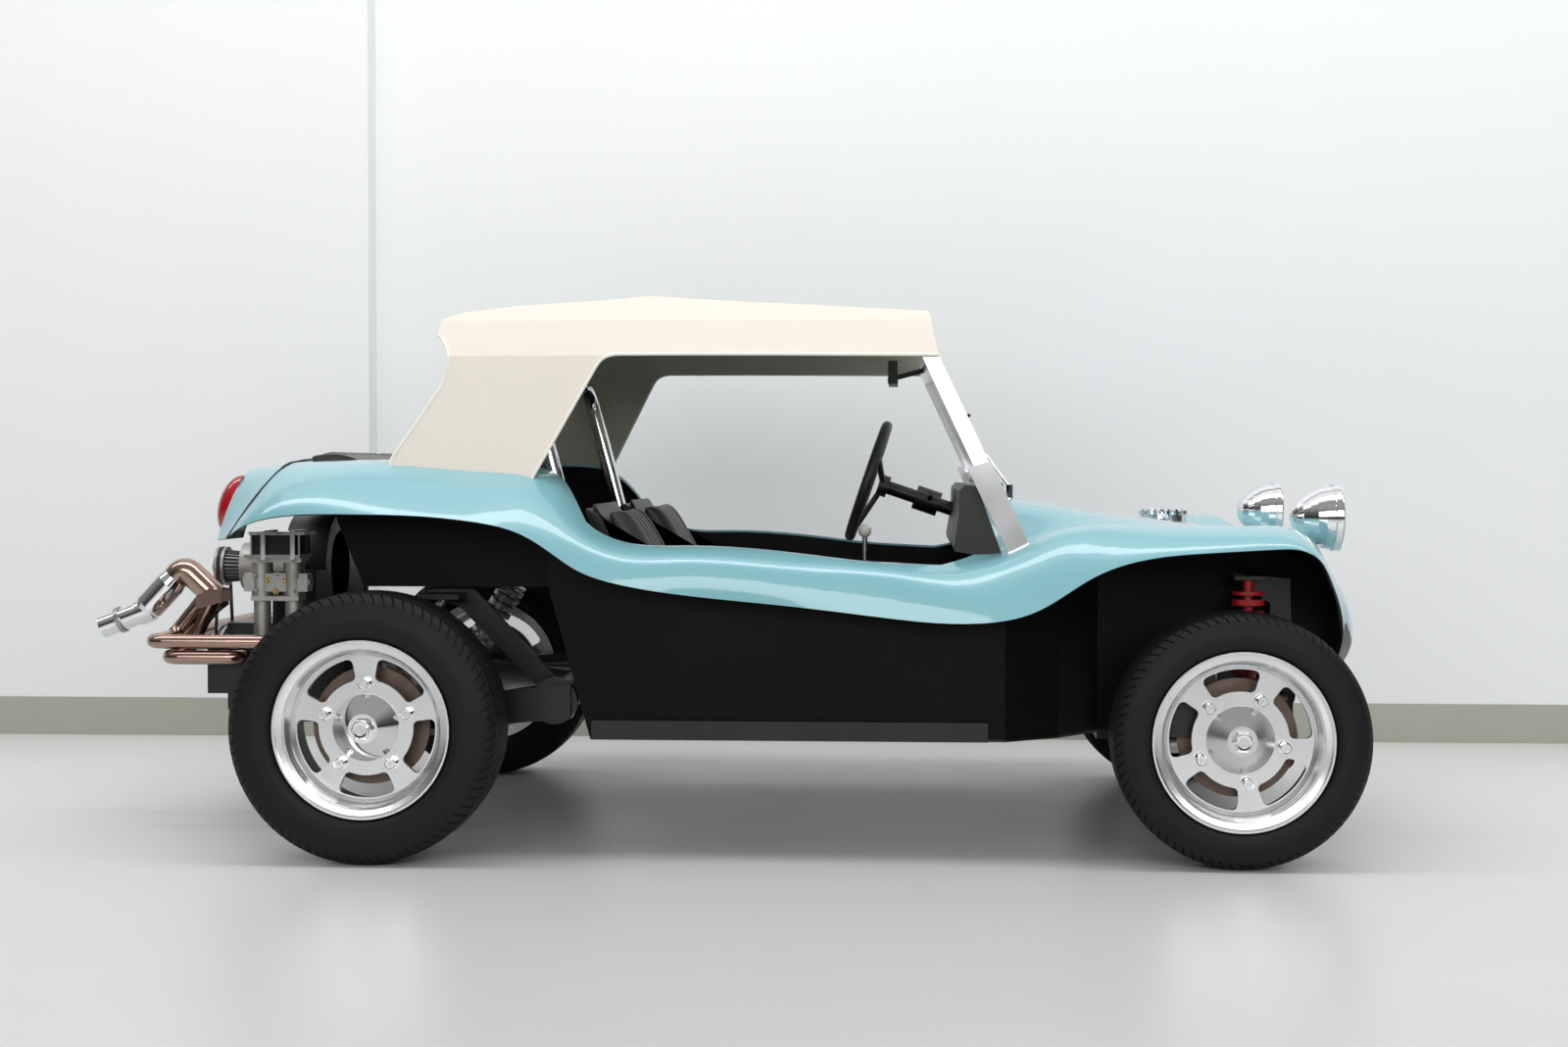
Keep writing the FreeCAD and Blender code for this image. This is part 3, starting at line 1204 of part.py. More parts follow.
# Roof line: places as shares of the wheelbase, heights as shares of the top's rise above the deck.
ROOF_SHARES = [(-0.03, 0.83), (0.05, 0.845), (0.137, 0.923), (0.280, 1.0), (0.460, 0.944), (0.66, 0.851)]
TOP_OUTLINE_SHARES = [(0.0575, 0.690), (0.0625, 0.672), (0.0705, 0.613), (0.0742, 0.559), (0.0725, 0.480),
                      (0.0680, 0.410), (0.0590, 0.349), (0.0375, 0.189), (0.0147, 0.029), (0.0112, -0.0156),
                      (0.0122, -0.045), (0.0153, -0.065), (0.0190, -0.080), (0.0243, -0.090), (0.0991, -0.118),
                      (0.1600, -0.131), (0.1685, -0.129), (0.1755, -0.119), (0.1800, -0.100), (0.1850, -0.056),
                      (0.2125, 0.178), (0.2460, 0.465), (0.2530, 0.522), (0.2560, 0.541), (0.2600, 0.557),
                      (0.2660, 0.571), (0.2740, 0.579), (0.2820, 0.5805), (0.433, 0.580), (0.658, 0.573),
                      (0.652, 0.70), (0.645, 0.90), (0.45, 1.10), (0.15, 1.10), (0.0575, 0.80)]
REAR_LIMIT_SHARES = [(0.064, 0.76), (0.064, 0.693), (0.080, 0.549), (0.060, 0.318), (0.018, -0.02),
                     (0.018, -0.40), (0.70, -0.40), (0.70, 1.20), (0.064, 1.20)]
SHOULDER_SHARE, CREASE_SHARE, RAIL_SHARE, HEM_SHARE = 0.84, 0.775, 0.573, -0.129
REAR_LIGHT_SHARES = (0.10, 0.45, 0.26, 0.56)


def top_height(share):
    return DECK + share * TOP_RISE


def top_flat(points):
    """Side-view corners given as shares of the wheelbase and of the top's rise."""
    return [(along(x), top_height(z)) for x, z in points]


def top_wire(x_share, crown_share, inset):
    """Half-hexagon section of the roof and sides, moved inwards by an inset."""
    x = along(x_share)
    fall = min(SHOULDER_SHARE, crown_share - 0.02)
    right = [(0.70 * mm("roof_half_width") - inset / 2, top_height((crown_share + fall) / 2) - inset),
             (mm("roof_half_width") - inset, top_height(CREASE_SHARE) - inset / 2),
             (mm("rail_half_width") - inset, top_height(RAIL_SHARE)),
             (mm("quarter_half_width") - inset, top_height(HEM_SHARE)),
             (mm("quarter_half_width") - inset, top_height(2 * HEM_SHARE))]
    corners = [Vector(x, 0, top_height(crown_share) - inset)] + [Vector(x, -y, z) for y, z in right]
    corners += [Vector(x, y, z) for y, z in right[::-1]]
    return Part.makePolygon(corners + corners[:1])


def top_block(inset):
    return Part.makeLoft([top_wire(x, z, inset) for x, z in ROOF_SHARES], True, True)


outer_top = top_block(0).common(prism(top_flat(TOP_OUTLINE_SHARES), -HALF, HALF))
inner_top = top_block(TOP_WALL).common(prism(top_flat(REAR_LIMIT_SHARES), -HALF, HALF))
rear_light = Part.makeBox(REAR_LIGHT_SHARES[0] * WB, 2 * REAR_LIGHT_SHARES[1] * HALF,
                          (REAR_LIGHT_SHARES[3] - REAR_LIGHT_SHARES[2]) * TOP_RISE,
                          Vector(RX, -REAR_LIGHT_SHARES[1] * HALF, top_height(REAR_LIGHT_SHARES[2])))
top_wall = outer_top.cut(inner_top)
hard_top = largest(top_wall.cut([rear_light, body_rear, tub]))
node("hard_top", feature(hard_top))
node("rear_window", feature(largest(top_wall.common(rear_light))))

# Windscreen: a flat frame that leans back, on two side stanchions beside the cowl

SCREEN_TOP_SHARE, SCREEN_LEAN_SHARE, SCREEN_X_SHARE = 0.572, 0.469, 0.6575
SCREEN_HALF_SHARES = (0.700, 0.735)
SCREEN_FOOT_SHARE = 0.938
STANCHION_SHARES = [(0.691, 0.983), (0.719, 1.000), (0.7225, 0.983), (0.7633, 0.7877), (0.7402, 0.7643),
                    (0.700, 0.942)]
STANCHION_HALF_SHARES = (0.715, 0.760)
screen_top = top_height(SCREEN_TOP_SHARE)
screen_foot = SCREEN_FOOT_SHARE * DECK
DEPTH = mm("screen_depth")
POST = mm("screen_post")
GLASS = mm("glass_thickness")


def screen_x(z):
    """Front face of the windscreen frame at one height."""
    return along(SCREEN_X_SHARE) + (screen_top - z) * SCREEN_LEAN_SHARE


def screen_plate(margin, ahead, behind):
    """Plate in the windscreen's plane, its edge set in by a margin, between two depths."""
    top, foot = screen_top - margin, screen_foot + margin
    half_top, half_foot = [share * HALF - margin for share in SCREEN_HALF_SHARES]
    rows = []
    for depth in (ahead, behind):
        ring = [Vector(screen_x(top) - depth, -half_top, top), Vector(screen_x(top) - depth, half_top, top),
                Vector(screen_x(foot) - depth, half_foot, foot), Vector(screen_x(foot) - depth, -half_foot, foot)]
        rows.append(Part.makePolygon(ring + ring[:1]))
    return Part.makeLoft(rows, True, True)


glass_slot = screen_plate(POST / 2, DEPTH / 2 - GLASS / 2, DEPTH / 2 + GLASS / 2)
stanchion = prism(flat(STANCHION_SHARES), -STANCHION_HALF_SHARES[1] * HALF, -STANCHION_HALF_SHARES[0] * HALF)
screen_frame = screen_plate(0, 0, DEPTH).cut(screen_plate(POST, -OVER, DEPTH + OVER))
screen_frame = screen_frame.fuse(both_sides(stanchion))
screen_frame = largest(screen_frame.cut([glass_slot, body_nose, dash, hard_top]))
node("windshield_frame", feature(screen_frame))
node("windshield_glass", feature(glass_slot))

# Coil-over units: a coil round a damper body, front pair and rear pair


def coil_over(top, foot, radius, turns, mount):
    """Damper with ring coils stacked along its axis, trimmed by what carries it."""
    length = (foot - top).Length
    step = (foot - top).normalize()
    body = [Part.makeCylinder(radius * 0.32, length, top, step),
            Part.makeCylinder(radius * 0.50, length * 0.45, top + step * (length * 0.5), step),
            Part.makeCylinder(radius * 0.95, length * 0.02, top + step * (length * 0.065), step),
            Part.makeCylinder(radius * 0.95, length * 0.03, top + step * (length * 0.66), step)]
    share = 0.565 / turns
    for i in range(turns):
        spot = top + step * (length * (0.095 + share * (i + 0.25)))
        body.append(Part.makeCylinder(radius, length * share * 0.5, spot, step))
    return largest(body[0].fuse(body[1:]).cut(mount))


front_unit = coil_over(Vector(shock_x, -shock_y, shock_top), Vector(shock_x, -shock_y, AXLE_HEIGHT - ARM_Z),
                       1.3 * BEAM_R, 9, beam)
node("shocks_front", feature(Part.makeCompound(both_sides(front_unit))))

# Rear running gear: torsion housing, spring plates, hub carriers, shock horns

AXLE_R = mm("rear_tyre_radius")
TORS_X = RX + mm("torsion_ahead")
TORS_Z = mm("torsion_height")
TORS_R = mm("torsion_radius")
TORS_OUT = mm("torsion_half")
CARRIER_R = mm("hub_carrier_radius")
PLATE_T = TORS_R * 0.30
HORN_TOP = WELL_FLOOR_SHARES[0][1] * DECK - TORS_R * 0.2
ACROSS = Vector(0, 1, 0)


def rear_hub_face():
    outer = (mm("rear_track") + mm("rear_tyre_width")) / 2 - mm("rim_inset") - mm("dish_depth")
    return outer - mm("disc_thickness") - mm("hat_depth") - GAP


def rear_side():
    """Right half of the rear suspension, from the torsion housing's end to the hub carrier."""
    hub_face = rear_hub_face()
    cap = Part.makeCylinder(TORS_R * 1.35, TORS_R * 0.5, Vector(TORS_X, -TORS_OUT, TORS_Z), ACROSS)
    end = Vector(TORS_X, -TORS_OUT - TORS_R * 0.3, TORS_Z)
    boss = Part.makeCylinder(TORS_R * 0.8, TORS_R * 0.3, end, ACROSS)
    width = hub_face - TORS_OUT + PLATE_T * 2
    carrier = Part.makeCylinder(CARRIER_R, width, Vector(RX, -hub_face, AXLE_R), ACROSS)
    plate = prism([(TORS_X + TORS_R, TORS_Z + TORS_R), (TORS_X + TORS_R, TORS_Z - TORS_R),
                   (RX, AXLE_R - CARRIER_R * 0.8), (RX - CARRIER_R * 0.8, AXLE_R), (RX, AXLE_R + CARRIER_R * 0.8)],
                  -TORS_OUT - PLATE_T, -TORS_OUT)
    inner_arm = bar((TORS_X, -TORS_OUT * 0.5, TORS_Z), (RX, -TORS_OUT, AXLE_R), TORS_R * 0.55)
    horn = prism([(TORS_X - TORS_R * 0.7, TORS_Z), (TORS_X + TORS_R * 0.7, TORS_Z), (along(0.095), HORN_TOP),
                  (along(0.035), HORN_TOP), (along(0.035), HORN_TOP - TORS_R / 2),
                  (along(0.075), HORN_TOP - TORS_R)], -TORS_OUT * 0.84, -TORS_OUT * 0.80)
    seat = Vector(along(0.035), -TORS_OUT * 1.02, HORN_TOP - TORS_R / 2)
    shelf = Part.makeBox(0.05 * WB, TORS_OUT * 0.22, PLATE_T, seat)
    lug = prism([(RX, AXLE_R - CARRIER_R * 0.7), (along(-0.038), AXLE_R - CARRIER_R * 0.6),
                 (along(-0.038), AXLE_R),
                 (RX, AXLE_R + CARRIER_R * 0.7)], -TORS_OUT - PLATE_T, -TORS_OUT * 0.90)
    return cap.fuse([boss, carrier, plate, inner_arm, horn, shelf, lug])


def rear_axle_form():
    housing = Part.makeCylinder(TORS_R, 2 * TORS_OUT, Vector(TORS_X, -TORS_OUT, TORS_Z), ACROSS)
    right = rear_side()
    shaft = Part.makeCylinder(mm("half_shaft_radius"), 2 * (TORS_OUT - TORS_R),
                              Vector(RX, TORS_R - TORS_OUT, AXLE_R), ACROSS)
    return largest(housing.fuse([right, other_side(right)]).cut([tub, floor_shape, shaft]))


rear_axle = rear_axle_form()
node("rear_axle", feature(rear_axle))
rear_unit = coil_over(Vector(along(0.06), -TORS_OUT * 0.93, HORN_TOP - TORS_R / 2),
                      Vector(along(-0.030), -TORS_OUT * 0.93, AXLE_R - TORS_R * 0.2), TORS_R * 0.95, 8, rear_axle)
node("shocks_rear", feature(Part.makeCompound(both_sides(rear_unit))))

# Fan belt: a loop round both pulleys, in their grooves

CRANK = mm("crank_height")
CASE_H = mm("engine_case_height")
PULLEY_R = mm("pulley_radius")
PULLEY_T = mm("pulley_width")
ENG_REAR = RX - mm("engine_behind") - GAP - mm("engine_length")
pulley_x = ENG_REAR - 0.09 * mm("engine_length") - GAP


def belt_loop(grow):
    """Loop round both pulleys, made of two arcs and two straight runs."""
    low_r = PULLEY_R * BELT_SHARE + grow
    high_r = PULLEY_R * ALTERNATOR_SHARE * BELT_SHARE + grow
    span = 1.08 * CASE_H
    lean = math.asin((low_r - high_r) / span)
    x = pulley_x - 0.36 * PULLEY_T
    low = Vector(x, low_r * math.cos(lean), CRANK + low_r * math.sin(lean))
    high = Vector(x, high_r * math.cos(lean), CRANK + span + high_r * math.sin(lean))
    low_far, high_far = Vector(x, -low.y, low.z), Vector(x, -high.y, high.z)
    top, foot = Vector(x, 0, CRANK + span + high_r), Vector(x, 0, CRANK - low_r)
    edges = [Part.LineSegment(low, high).toShape(), Part.Arc(high, top, high_far).toShape(),
             Part.LineSegment(high_far, low_far).toShape(), Part.Arc(low_far, foot, low).toShape()]
    return Part.Face(Part.Wire(edges)).extrude(Vector(-0.28 * PULLEY_T, 0, 0))


node("fan_belt", feature(belt_loop(PULLEY_R * 0.08).cut(belt_loop(GAP / 3))))

# Exhaust: four header pipes that sweep behind the engine into a collector, a muffler and its tip

HEAD_R = mm("header_radius")
MUF_R = mm("muffler_radius")
TIP_R = mm("tip_radius")
bank_face = mm("engine_half_width") + mm("barrel_length") + mm("head_length")
PIPE_SIDE_SHARE, STINGER_SIDE_SHARE = 0.52, 0.28
HIGH_SHARES = (-0.160, -0.318, 0.516)
LOW_SHARES = (-0.205, -0.298, 0.474)
FAR_LOW_SHARES = (-0.205, -0.320, 0.474)
COLLECTOR_SHARES = [(-0.2855, 0.592), (-0.2855, 0.625), (-0.268, 0.650), (-0.252, 0.646), (-0.252, 0.612)]
STINGER_SHARES = [(-0.266, 0.625), (-0.306, 0.706), (-0.3586, 0.5846)]
TIP_SLOPE_SHARE = -0.377


def primary(shares, climb, side):
    """One primary pipe: out of the head, back along the bank, across and up to the collector."""
    start, back, height = shares
    z, y = height * DECK, side * PIPE_SIDE_SHARE * HALF
    inner = -STINGER_SIDE_SHARE * HALF + side * HEAD_R * 1.3
    return tube([(along(start), side * (bank_face + GAP), z), (along(start), y, z), (along(back), y, z),
                 (along(back), inner, z), (along(climb), inner, 0.617 * DECK)], HEAD_R, HEAD_R * 1.9)


stinger_y = -STINGER_SIDE_SHARE * HALF
elbow = [(along(x), stinger_y, z * DECK) for x, z in STINGER_SHARES]
can_dir = (Vector(*elbow[2]) - Vector(*elbow[1])).normalize()
can_start = Vector(*elbow[1]) + can_dir * (MUF_R * 0.9)
can_end = Vector(*elbow[2])
tip_dir = Vector(-1, 0, TIP_SLOPE_SHARE).normalize()


def muffler():
    """Can with a tapered end at each side of it, then the open tip that slopes gently down."""
    length = (can_end - can_start).Length
    neck = TIP_R + 2 * mm("tip_wall")
    taper = Part.makeCone(MUF_R * 0.86, MUF_R, length * 0.18, can_start, can_dir)
    can = Part.makeCylinder(MUF_R, length * 0.67, can_start + can_dir * (length * 0.18), can_dir)
    end = can_start + can_dir * (length * 0.85)
    shoulder = Part.makeCone(MUF_R, MUF_R * 0.7, length * 0.25, end, can_dir)
    collar = Part.makeCylinder(neck, TIP_R * 1.2, can_end - tip_dir * (TIP_R * 0.7), tip_dir)
    tip = Part.makeCylinder(TIP_R, mm("tip_length"), can_end + tip_dir * (TIP_R * 0.5), tip_dir)
    bore = Part.makeCylinder(TIP_R - mm("tip_wall"), mm("tip_length"), can_end + tip_dir * TIP_R, tip_dir)
    return largest(taper.fuse([can, shoulder, collar, tip]).cut(bore))


def exhaust():
    """Headers of both banks, the collector plate box and the bend that carries the muffler."""
    collector = prism(flat(COLLECTOR_SHARES), stinger_y - HEAD_R * 2.4, stinger_y + HEAD_R * 2.4)
    pipes = [primary(HIGH_SHARES, -0.280, -1), primary(LOW_SHARES, -0.266, -1),
             primary(HIGH_SHARES, -0.258, 1), primary(FAR_LOW_SHARES, -0.262, 1)]
    bend = tube([elbow[0], elbow[1], tuple(can_start)], MUF_R * 0.86, MUF_R * 0.6)
    return largest(collector.fuse(pipes + [bend]))


node("muffler", feature(muffler()))
node("exhaust_pipes", feature(exhaust()))

# Roll bar: a hoop with leaning legs on the floor, behind the seats

BAR_Y = mm("roll_bar_half")
BAR_FOOT_SHARE, BAR_TOP_SHARE, BAR_RISE_SHARE = 0.2745, 0.1605, 0.53
bar_top = top_height(BAR_RISE_SHARE)
hoop = tube([(along(BAR_FOOT_SHARE), -BAR_Y, FLOOR + GAP), (along(BAR_TOP_SHARE), -BAR_Y, bar_top),
             (along(BAR_TOP_SHARE), BAR_Y, bar_top), (along(BAR_FOOT_SHARE), BAR_Y, FLOOR + GAP)],
            mm("roll_bar_radius"), mm("roll_bar_radius") * 4)
level = Part.makeBox(WB, 2 * HALF, DECK, Vector(RX, -HALF, FLOOR - DECK))
node("roll_bar", feature(hoop.cut(level)))

# Mirror under the windscreen's top rail, and the wipers

mirror_box = Part.makeBox(0.012 * WB, 0.26 * HALF, 0.065 * DECK,
                          Vector(along(0.596), -0.13 * HALF, top_height(0.455)))
mirror_arm = bar((along(0.604), 0, top_height(0.50)), (along(0.645), 0, top_height(0.55)), COL_R * 0.35)
node("mirror", feature(largest(mirror_box.fuse(mirror_arm).cut(screen_frame))))


def wiper():
    """Right-hand wiper: pivot on the cowl, cranked arm and blade in front of the glass."""
    y = -0.36 * HALF
    foot = Vector(along(0.748), y, 0.897 * DECK)
    knee = (screen_x(1.02 * DECK) + 2 * GLASS, y, 1.02 * DECK)
    end = (screen_x(1.12 * DECK) + 2 * GLASS, -0.18 * HALF, 1.12 * DECK)
    blade = bar((end[0], -0.46 * HALF, end[2]), (end[0], 0.02 * HALF, end[2]), COL_R * 0.25)
    pivot = Part.makeCylinder(COL_R * 0.5, COL_R * 2, foot)
    arm = [bar(foot + Vector(0, 0, COL_R * 1.6), knee, COL_R * 0.2), bar(knee, end, COL_R * 0.2)]
    return pivot.fuse(arm + [blade])


right_wiper = wiper().cut(body_nose)
node("wipers", feature(Part.makeCompound(both_sides(largest(right_wiper)))))

# Headlamps: bullet shells on short posts, and the fuel cap on the hood

LAMP_SHARES = [(0.0, 0.12), (0.03, 0.26), (0.10, 0.43), (0.20, 0.59), (0.32, 0.73), (0.46, 0.85), (0.62, 0.93),
               (0.79, 0.97), (0.80, 1.0), (0.91, 1.0), (0.94, 0.93), (0.97, 0.60), (1.0, 0.30)]
LAMP_FACE_SHARE = 1.1408


def headlamp():
    """Right-hand bullet turned about its own axis, with its post down to the fender."""
    start = f"{at(LAMP_FACE_SHARE)} - headlamp_length"
    rows = [(f"{u} * headlamp_length", f"{r} * headlamp_radius") for u, r in LAMP_SHARES]
    bullet = turned_body("LampForm", [(rows[0][0], "0")] + rows + [(rows[-1][0], "0")])
    put(bullet, start, "-headlamp_side", "headlamp_height")
    post = rod("0.18 * headlamp_radius", "1.6 * headlamp_radius", f"{start} + 0.45 * headlamp_length",
               "-headlamp_side", "headlamp_height - 1.9 * headlamp_radius")
    return fused(bullet, post)


lamp = headlamp()
doc.recompute()
lamp_cut = largest(lamp.Shape.cut(body_nose)).translated(Vector(0, 0, GAP))
node("headlamps", feature(Part.makeCompound(both_sides(lamp_cut))))
cap_form = Part.makeCylinder(0.030 * WB, 0.05 * DECK, Vector(along(0.962), 0.19 * HALF, 0.8135 * DECK))
fuel_cap = max(cap_form.cut(body_nose).Solids, key=lambda part: part.CenterOfMass.z)
node("fuel_cap", feature(fuel_cap.translated(Vector(0, 0, GAP))))

doc.recompute()
faults = [piece.Label for piece in doc.Objects if "Invalid" in piece.State or "Error" in piece.State]
faults += [name for name, piece in NODES.items() if piece.Shape.isNull() or not piece.Shape.isValid()]
if faults:
    raise RuntimeError(f"faulty pieces: {faults}")
for name, piece in NODES.items():
    piece.Shape.exportStep(f"parts/{name}.step")
print(len(NODES), "parts")
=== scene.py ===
import math

import bmesh
import bpy
import numpy as np
from mathutils import Matrix, Vector
from mathutils.bvhtree import BVHTree


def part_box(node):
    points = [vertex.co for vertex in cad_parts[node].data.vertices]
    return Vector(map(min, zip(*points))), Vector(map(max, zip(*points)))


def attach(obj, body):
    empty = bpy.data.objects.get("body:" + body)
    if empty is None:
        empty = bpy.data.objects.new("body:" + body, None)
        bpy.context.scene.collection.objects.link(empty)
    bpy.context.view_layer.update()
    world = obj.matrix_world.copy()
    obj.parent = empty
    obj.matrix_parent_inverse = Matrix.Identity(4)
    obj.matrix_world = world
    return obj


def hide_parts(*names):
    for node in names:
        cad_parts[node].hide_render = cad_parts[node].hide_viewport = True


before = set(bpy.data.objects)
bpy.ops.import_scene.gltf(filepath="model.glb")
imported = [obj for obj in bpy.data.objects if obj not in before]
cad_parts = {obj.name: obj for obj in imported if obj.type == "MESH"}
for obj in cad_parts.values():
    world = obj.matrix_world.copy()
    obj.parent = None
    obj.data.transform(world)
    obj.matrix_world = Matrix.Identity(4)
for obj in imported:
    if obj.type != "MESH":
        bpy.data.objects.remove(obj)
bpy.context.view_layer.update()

# Open dune buggy with a hard top: paint, trim, tread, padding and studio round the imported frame.
# All sizes are metres in the frame's axes: X forward, Y to the car's left, Z up.

SIDES, SIDE_NAMES = (-1, 1), ((1, "left"), (-1, "right"))
# Places of the axles; the deck's height, the body's half width and the top's rise over the deck.
WHEELBASE, REAR_X, FRONT_X = 2.032, -0.768, 1.264
DECK, HALF, TOP_RISE = 0.942, 0.800, 0.443
FRONT_RADIUS, REAR_RADIUS = 0.297, 0.318
# Corner, side, axle's place, half track, tyre radius, tyre width and turn of the lug circle.
WHEELS = (("fl", 1, FRONT_X, 0.7005, FRONT_RADIUS, 0.195, 62.7),
          ("fr", -1, FRONT_X, 0.7005, FRONT_RADIUS, 0.195, 62.7),
          ("rl", 1, REAR_X, 0.7505, REAR_RADIUS, 0.211, 90.6),
          ("rr", -1, REAR_X, 0.7505, REAR_RADIUS, 0.211, 90.6))

bl_info = {
    "name": "Dune buggy dress",
    "version": (1, 0, 0),
    "blender": (4, 5, 0),
    "location": "3D View > Sidebar > Buggy",
    "description": "Paint, trim, tread, padding and studio for the dune buggy",
    "category": "Object",
}


# Surfaces


def along(share):
    """Place along the car at a share of the wheelbase from the rear axle."""
    return REAR_X + np.asarray(share) * WHEELBASE


def unit(vector):
    vector = np.asarray(vector, float)
    return vector / np.linalg.norm(vector)


def grid_quads(rows, columns, round_rows, round_columns):
    """Corner numbers of a grid's quads. A round direction joins its last line to its first."""
    i, j = np.meshgrid(np.arange(rows - (not round_rows)), np.arange(columns - (not round_columns)),
                       indexing="ij")
    n, m = (i + 1) % rows, (j + 1) % columns
    return np.stack([i * columns + j, n * columns + j, n * columns + m, i * columns + m], -1).reshape(-1, 4)


def build(name, grids, key, body="chassis", sharp=35):
    """One finished piece from grids of points, each given with its two round flags."""
    points = np.concatenate([grid.reshape(-1, 3) for grid, _, _ in grids])
    starts = np.cumsum([0] + [grid.shape[0] * grid.shape[1] for grid, _, _ in grids[:-1]])
    quads = np.concatenate([grid_quads(*grid.shape[:2], rows, columns) + start
                            for (grid, rows, columns), start in zip(grids, starts)])
    mesh = bpy.data.meshes.new(name)
    mesh.vertices.add(len(points))
    mesh.vertices.foreach_set("co", points.astype(np.float32).ravel())
    mesh.loops.add(quads.size)
    mesh.loops.foreach_set("vertex_index", quads.astype(np.int32).ravel())
    mesh.polygons.add(len(quads))
    mesh.polygons.foreach_set("loop_start", np.arange(0, quads.size, 4, dtype=np.int32))
    mesh.update(calc_edges=True)
    work = bmesh.new()
    work.from_mesh(mesh)
    bmesh.ops.remove_doubles(work, verts=work.verts, dist=2e-6)
    bmesh.ops.recalc_face_normals(work, faces=work.faces)
    work.to_mesh(mesh)
    work.free()
    mesh.shade_smooth()
    mesh.set_sharp_from_angle(angle=math.radians(sharp))
    mesh.materials.append(FINISHES[key])
    made = bpy.data.objects.new(name, mesh)
    bpy.context.scene.collection.objects.link(made)
    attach(made, body)
    return made


def smooth_path(points, count):
    """Curve through the points: between two of them a cubic whose slope at each is half the step
    from the point before it to the point after it."""
    points = np.asarray(points, float)
    padded = np.concatenate([2 * points[:1] - points[1:2], points, 2 * points[-1:] - points[-2:-1]])
    t = np.linspace(0, len(points) - 1, count)
    i = np.minimum(t.astype(int), len(points) - 2)
    f = (t - i)[:, None]
    a, b, c, d = padded[i], padded[i + 1], padded[i + 2], padded[i + 3]
    return 0.5 * (2 * b + (c - a) * f + (2 * a - 5 * b + 4 * c - d) * f ** 2
                  + (3 * b - a - 3 * c + d) * f ** 3)


def tube(path, radius, sides=10, reference=(0, 1, 0), ring=False):
    """Circle carried along a path: point + radius (cos t * level + sin t * upright), both at right
    angles to the path. An open tube's ends close to a point, a ring joins on itself."""
    path = np.asarray(path, float)
    run = np.roll(path, -1, 0) - np.roll(path, 1, 0) if ring else np.gradient(path, axis=0)
    run /= np.linalg.norm(run, axis=1)[:, None]
    level = np.cross(run, reference)
    level /= np.linalg.norm(level, axis=1)[:, None]
    upright = np.cross(level, run)
    reach = np.full(len(path), float(radius))
    if not ring:
        path, level, upright = [np.concatenate([a[:1], a, a[-1:]]) for a in (path, level, upright)]
        reach = np.concatenate([[0.0], reach, [0.0]])
    t = np.linspace(0, 2 * np.pi, sides, endpoint=False)[None, :, None]
    grid = path[:, None] + reach[:, None, None] * (np.cos(t) * level[:, None] + np.sin(t) * upright[:, None])
    return grid, ring, True


def turned(profile, origin, axis, sides, wave=0.0, teeth=0, ring=False):
    """Profile of places along an axis and radii, turned about it. The radius swells and sinks by
    wave, as many times a turn as there are teeth."""
    places, radii = np.asarray(profile, float).T
    axis = unit(axis)
    level = unit(np.cross(axis, (0, 0, 1) if abs(axis[2]) < 0.9 else (1, 0, 0)))
    upright = np.cross(axis, level)
    t = np.linspace(0, 2 * np.pi, sides, endpoint=False)
    spokes = np.cos(t)[:, None] * level + np.sin(t)[:, None] * upright
    reach = radii[:, None] * (1 + wave * np.cos(teeth * t))[None]
    grid = np.asarray(origin, float) + places[:, None, None] * axis + reach[..., None] * spokes[None]
    return grid, ring, True


def slab(centre, half_x, half_y, rows, power=8.0, ripple=0.0, ripples=0, columns=72):
    """Stacked outlines |x / a|^p + |y / b|^p = 1. Each row gives a height and a scale, and a ripple
    moves the outline in and out, as on a pleated element."""
    t = np.linspace(0, 2 * np.pi, columns, endpoint=False)
    c, s = np.cos(t), np.sin(t)
    swell = 1 + ripple * np.cos(ripples * t)
    x = np.sign(c) * np.abs(c) ** (2 / power) * half_x * swell
    y = np.sign(s) * np.abs(s) ** (2 / power) * half_y * swell
    heights, scales = np.asarray(rows, float).T
    grid = np.stack([x[None] * scales[:, None], y[None] * scales[:, None],
                     np.repeat(heights[:, None], columns, 1)], -1)
    return grid + np.asarray(centre, float), False, True


def plate_rows(low, high, edge=0.001):
    """Rows of a slab between two heights, with its edges broken."""
    return [(low, 0), (low, 0.985), (low + edge, 1), (high - edge, 1), (high, 0.985), (high, 0)]


# Sewn pads. The seam's width is in metres, the rest are counts or shares of half width and height.
PAD_LINES, PAD_SQUARE, PAD_CHANNELS, PAD_UNDER, PAD_CROWN = 65, 6.0, 6, 0.6, 0.12
SEAM_WIDTH, SEAM_SINK, SEAM_END, SEAM_FADE = 0.006, 0.2, 0.74, 0.05
BOLSTER_FROM, BOLSTER_RUN, PULL_ACROSS, PULL_ALONG = 0.68, 0.12, 0.025, 0.02


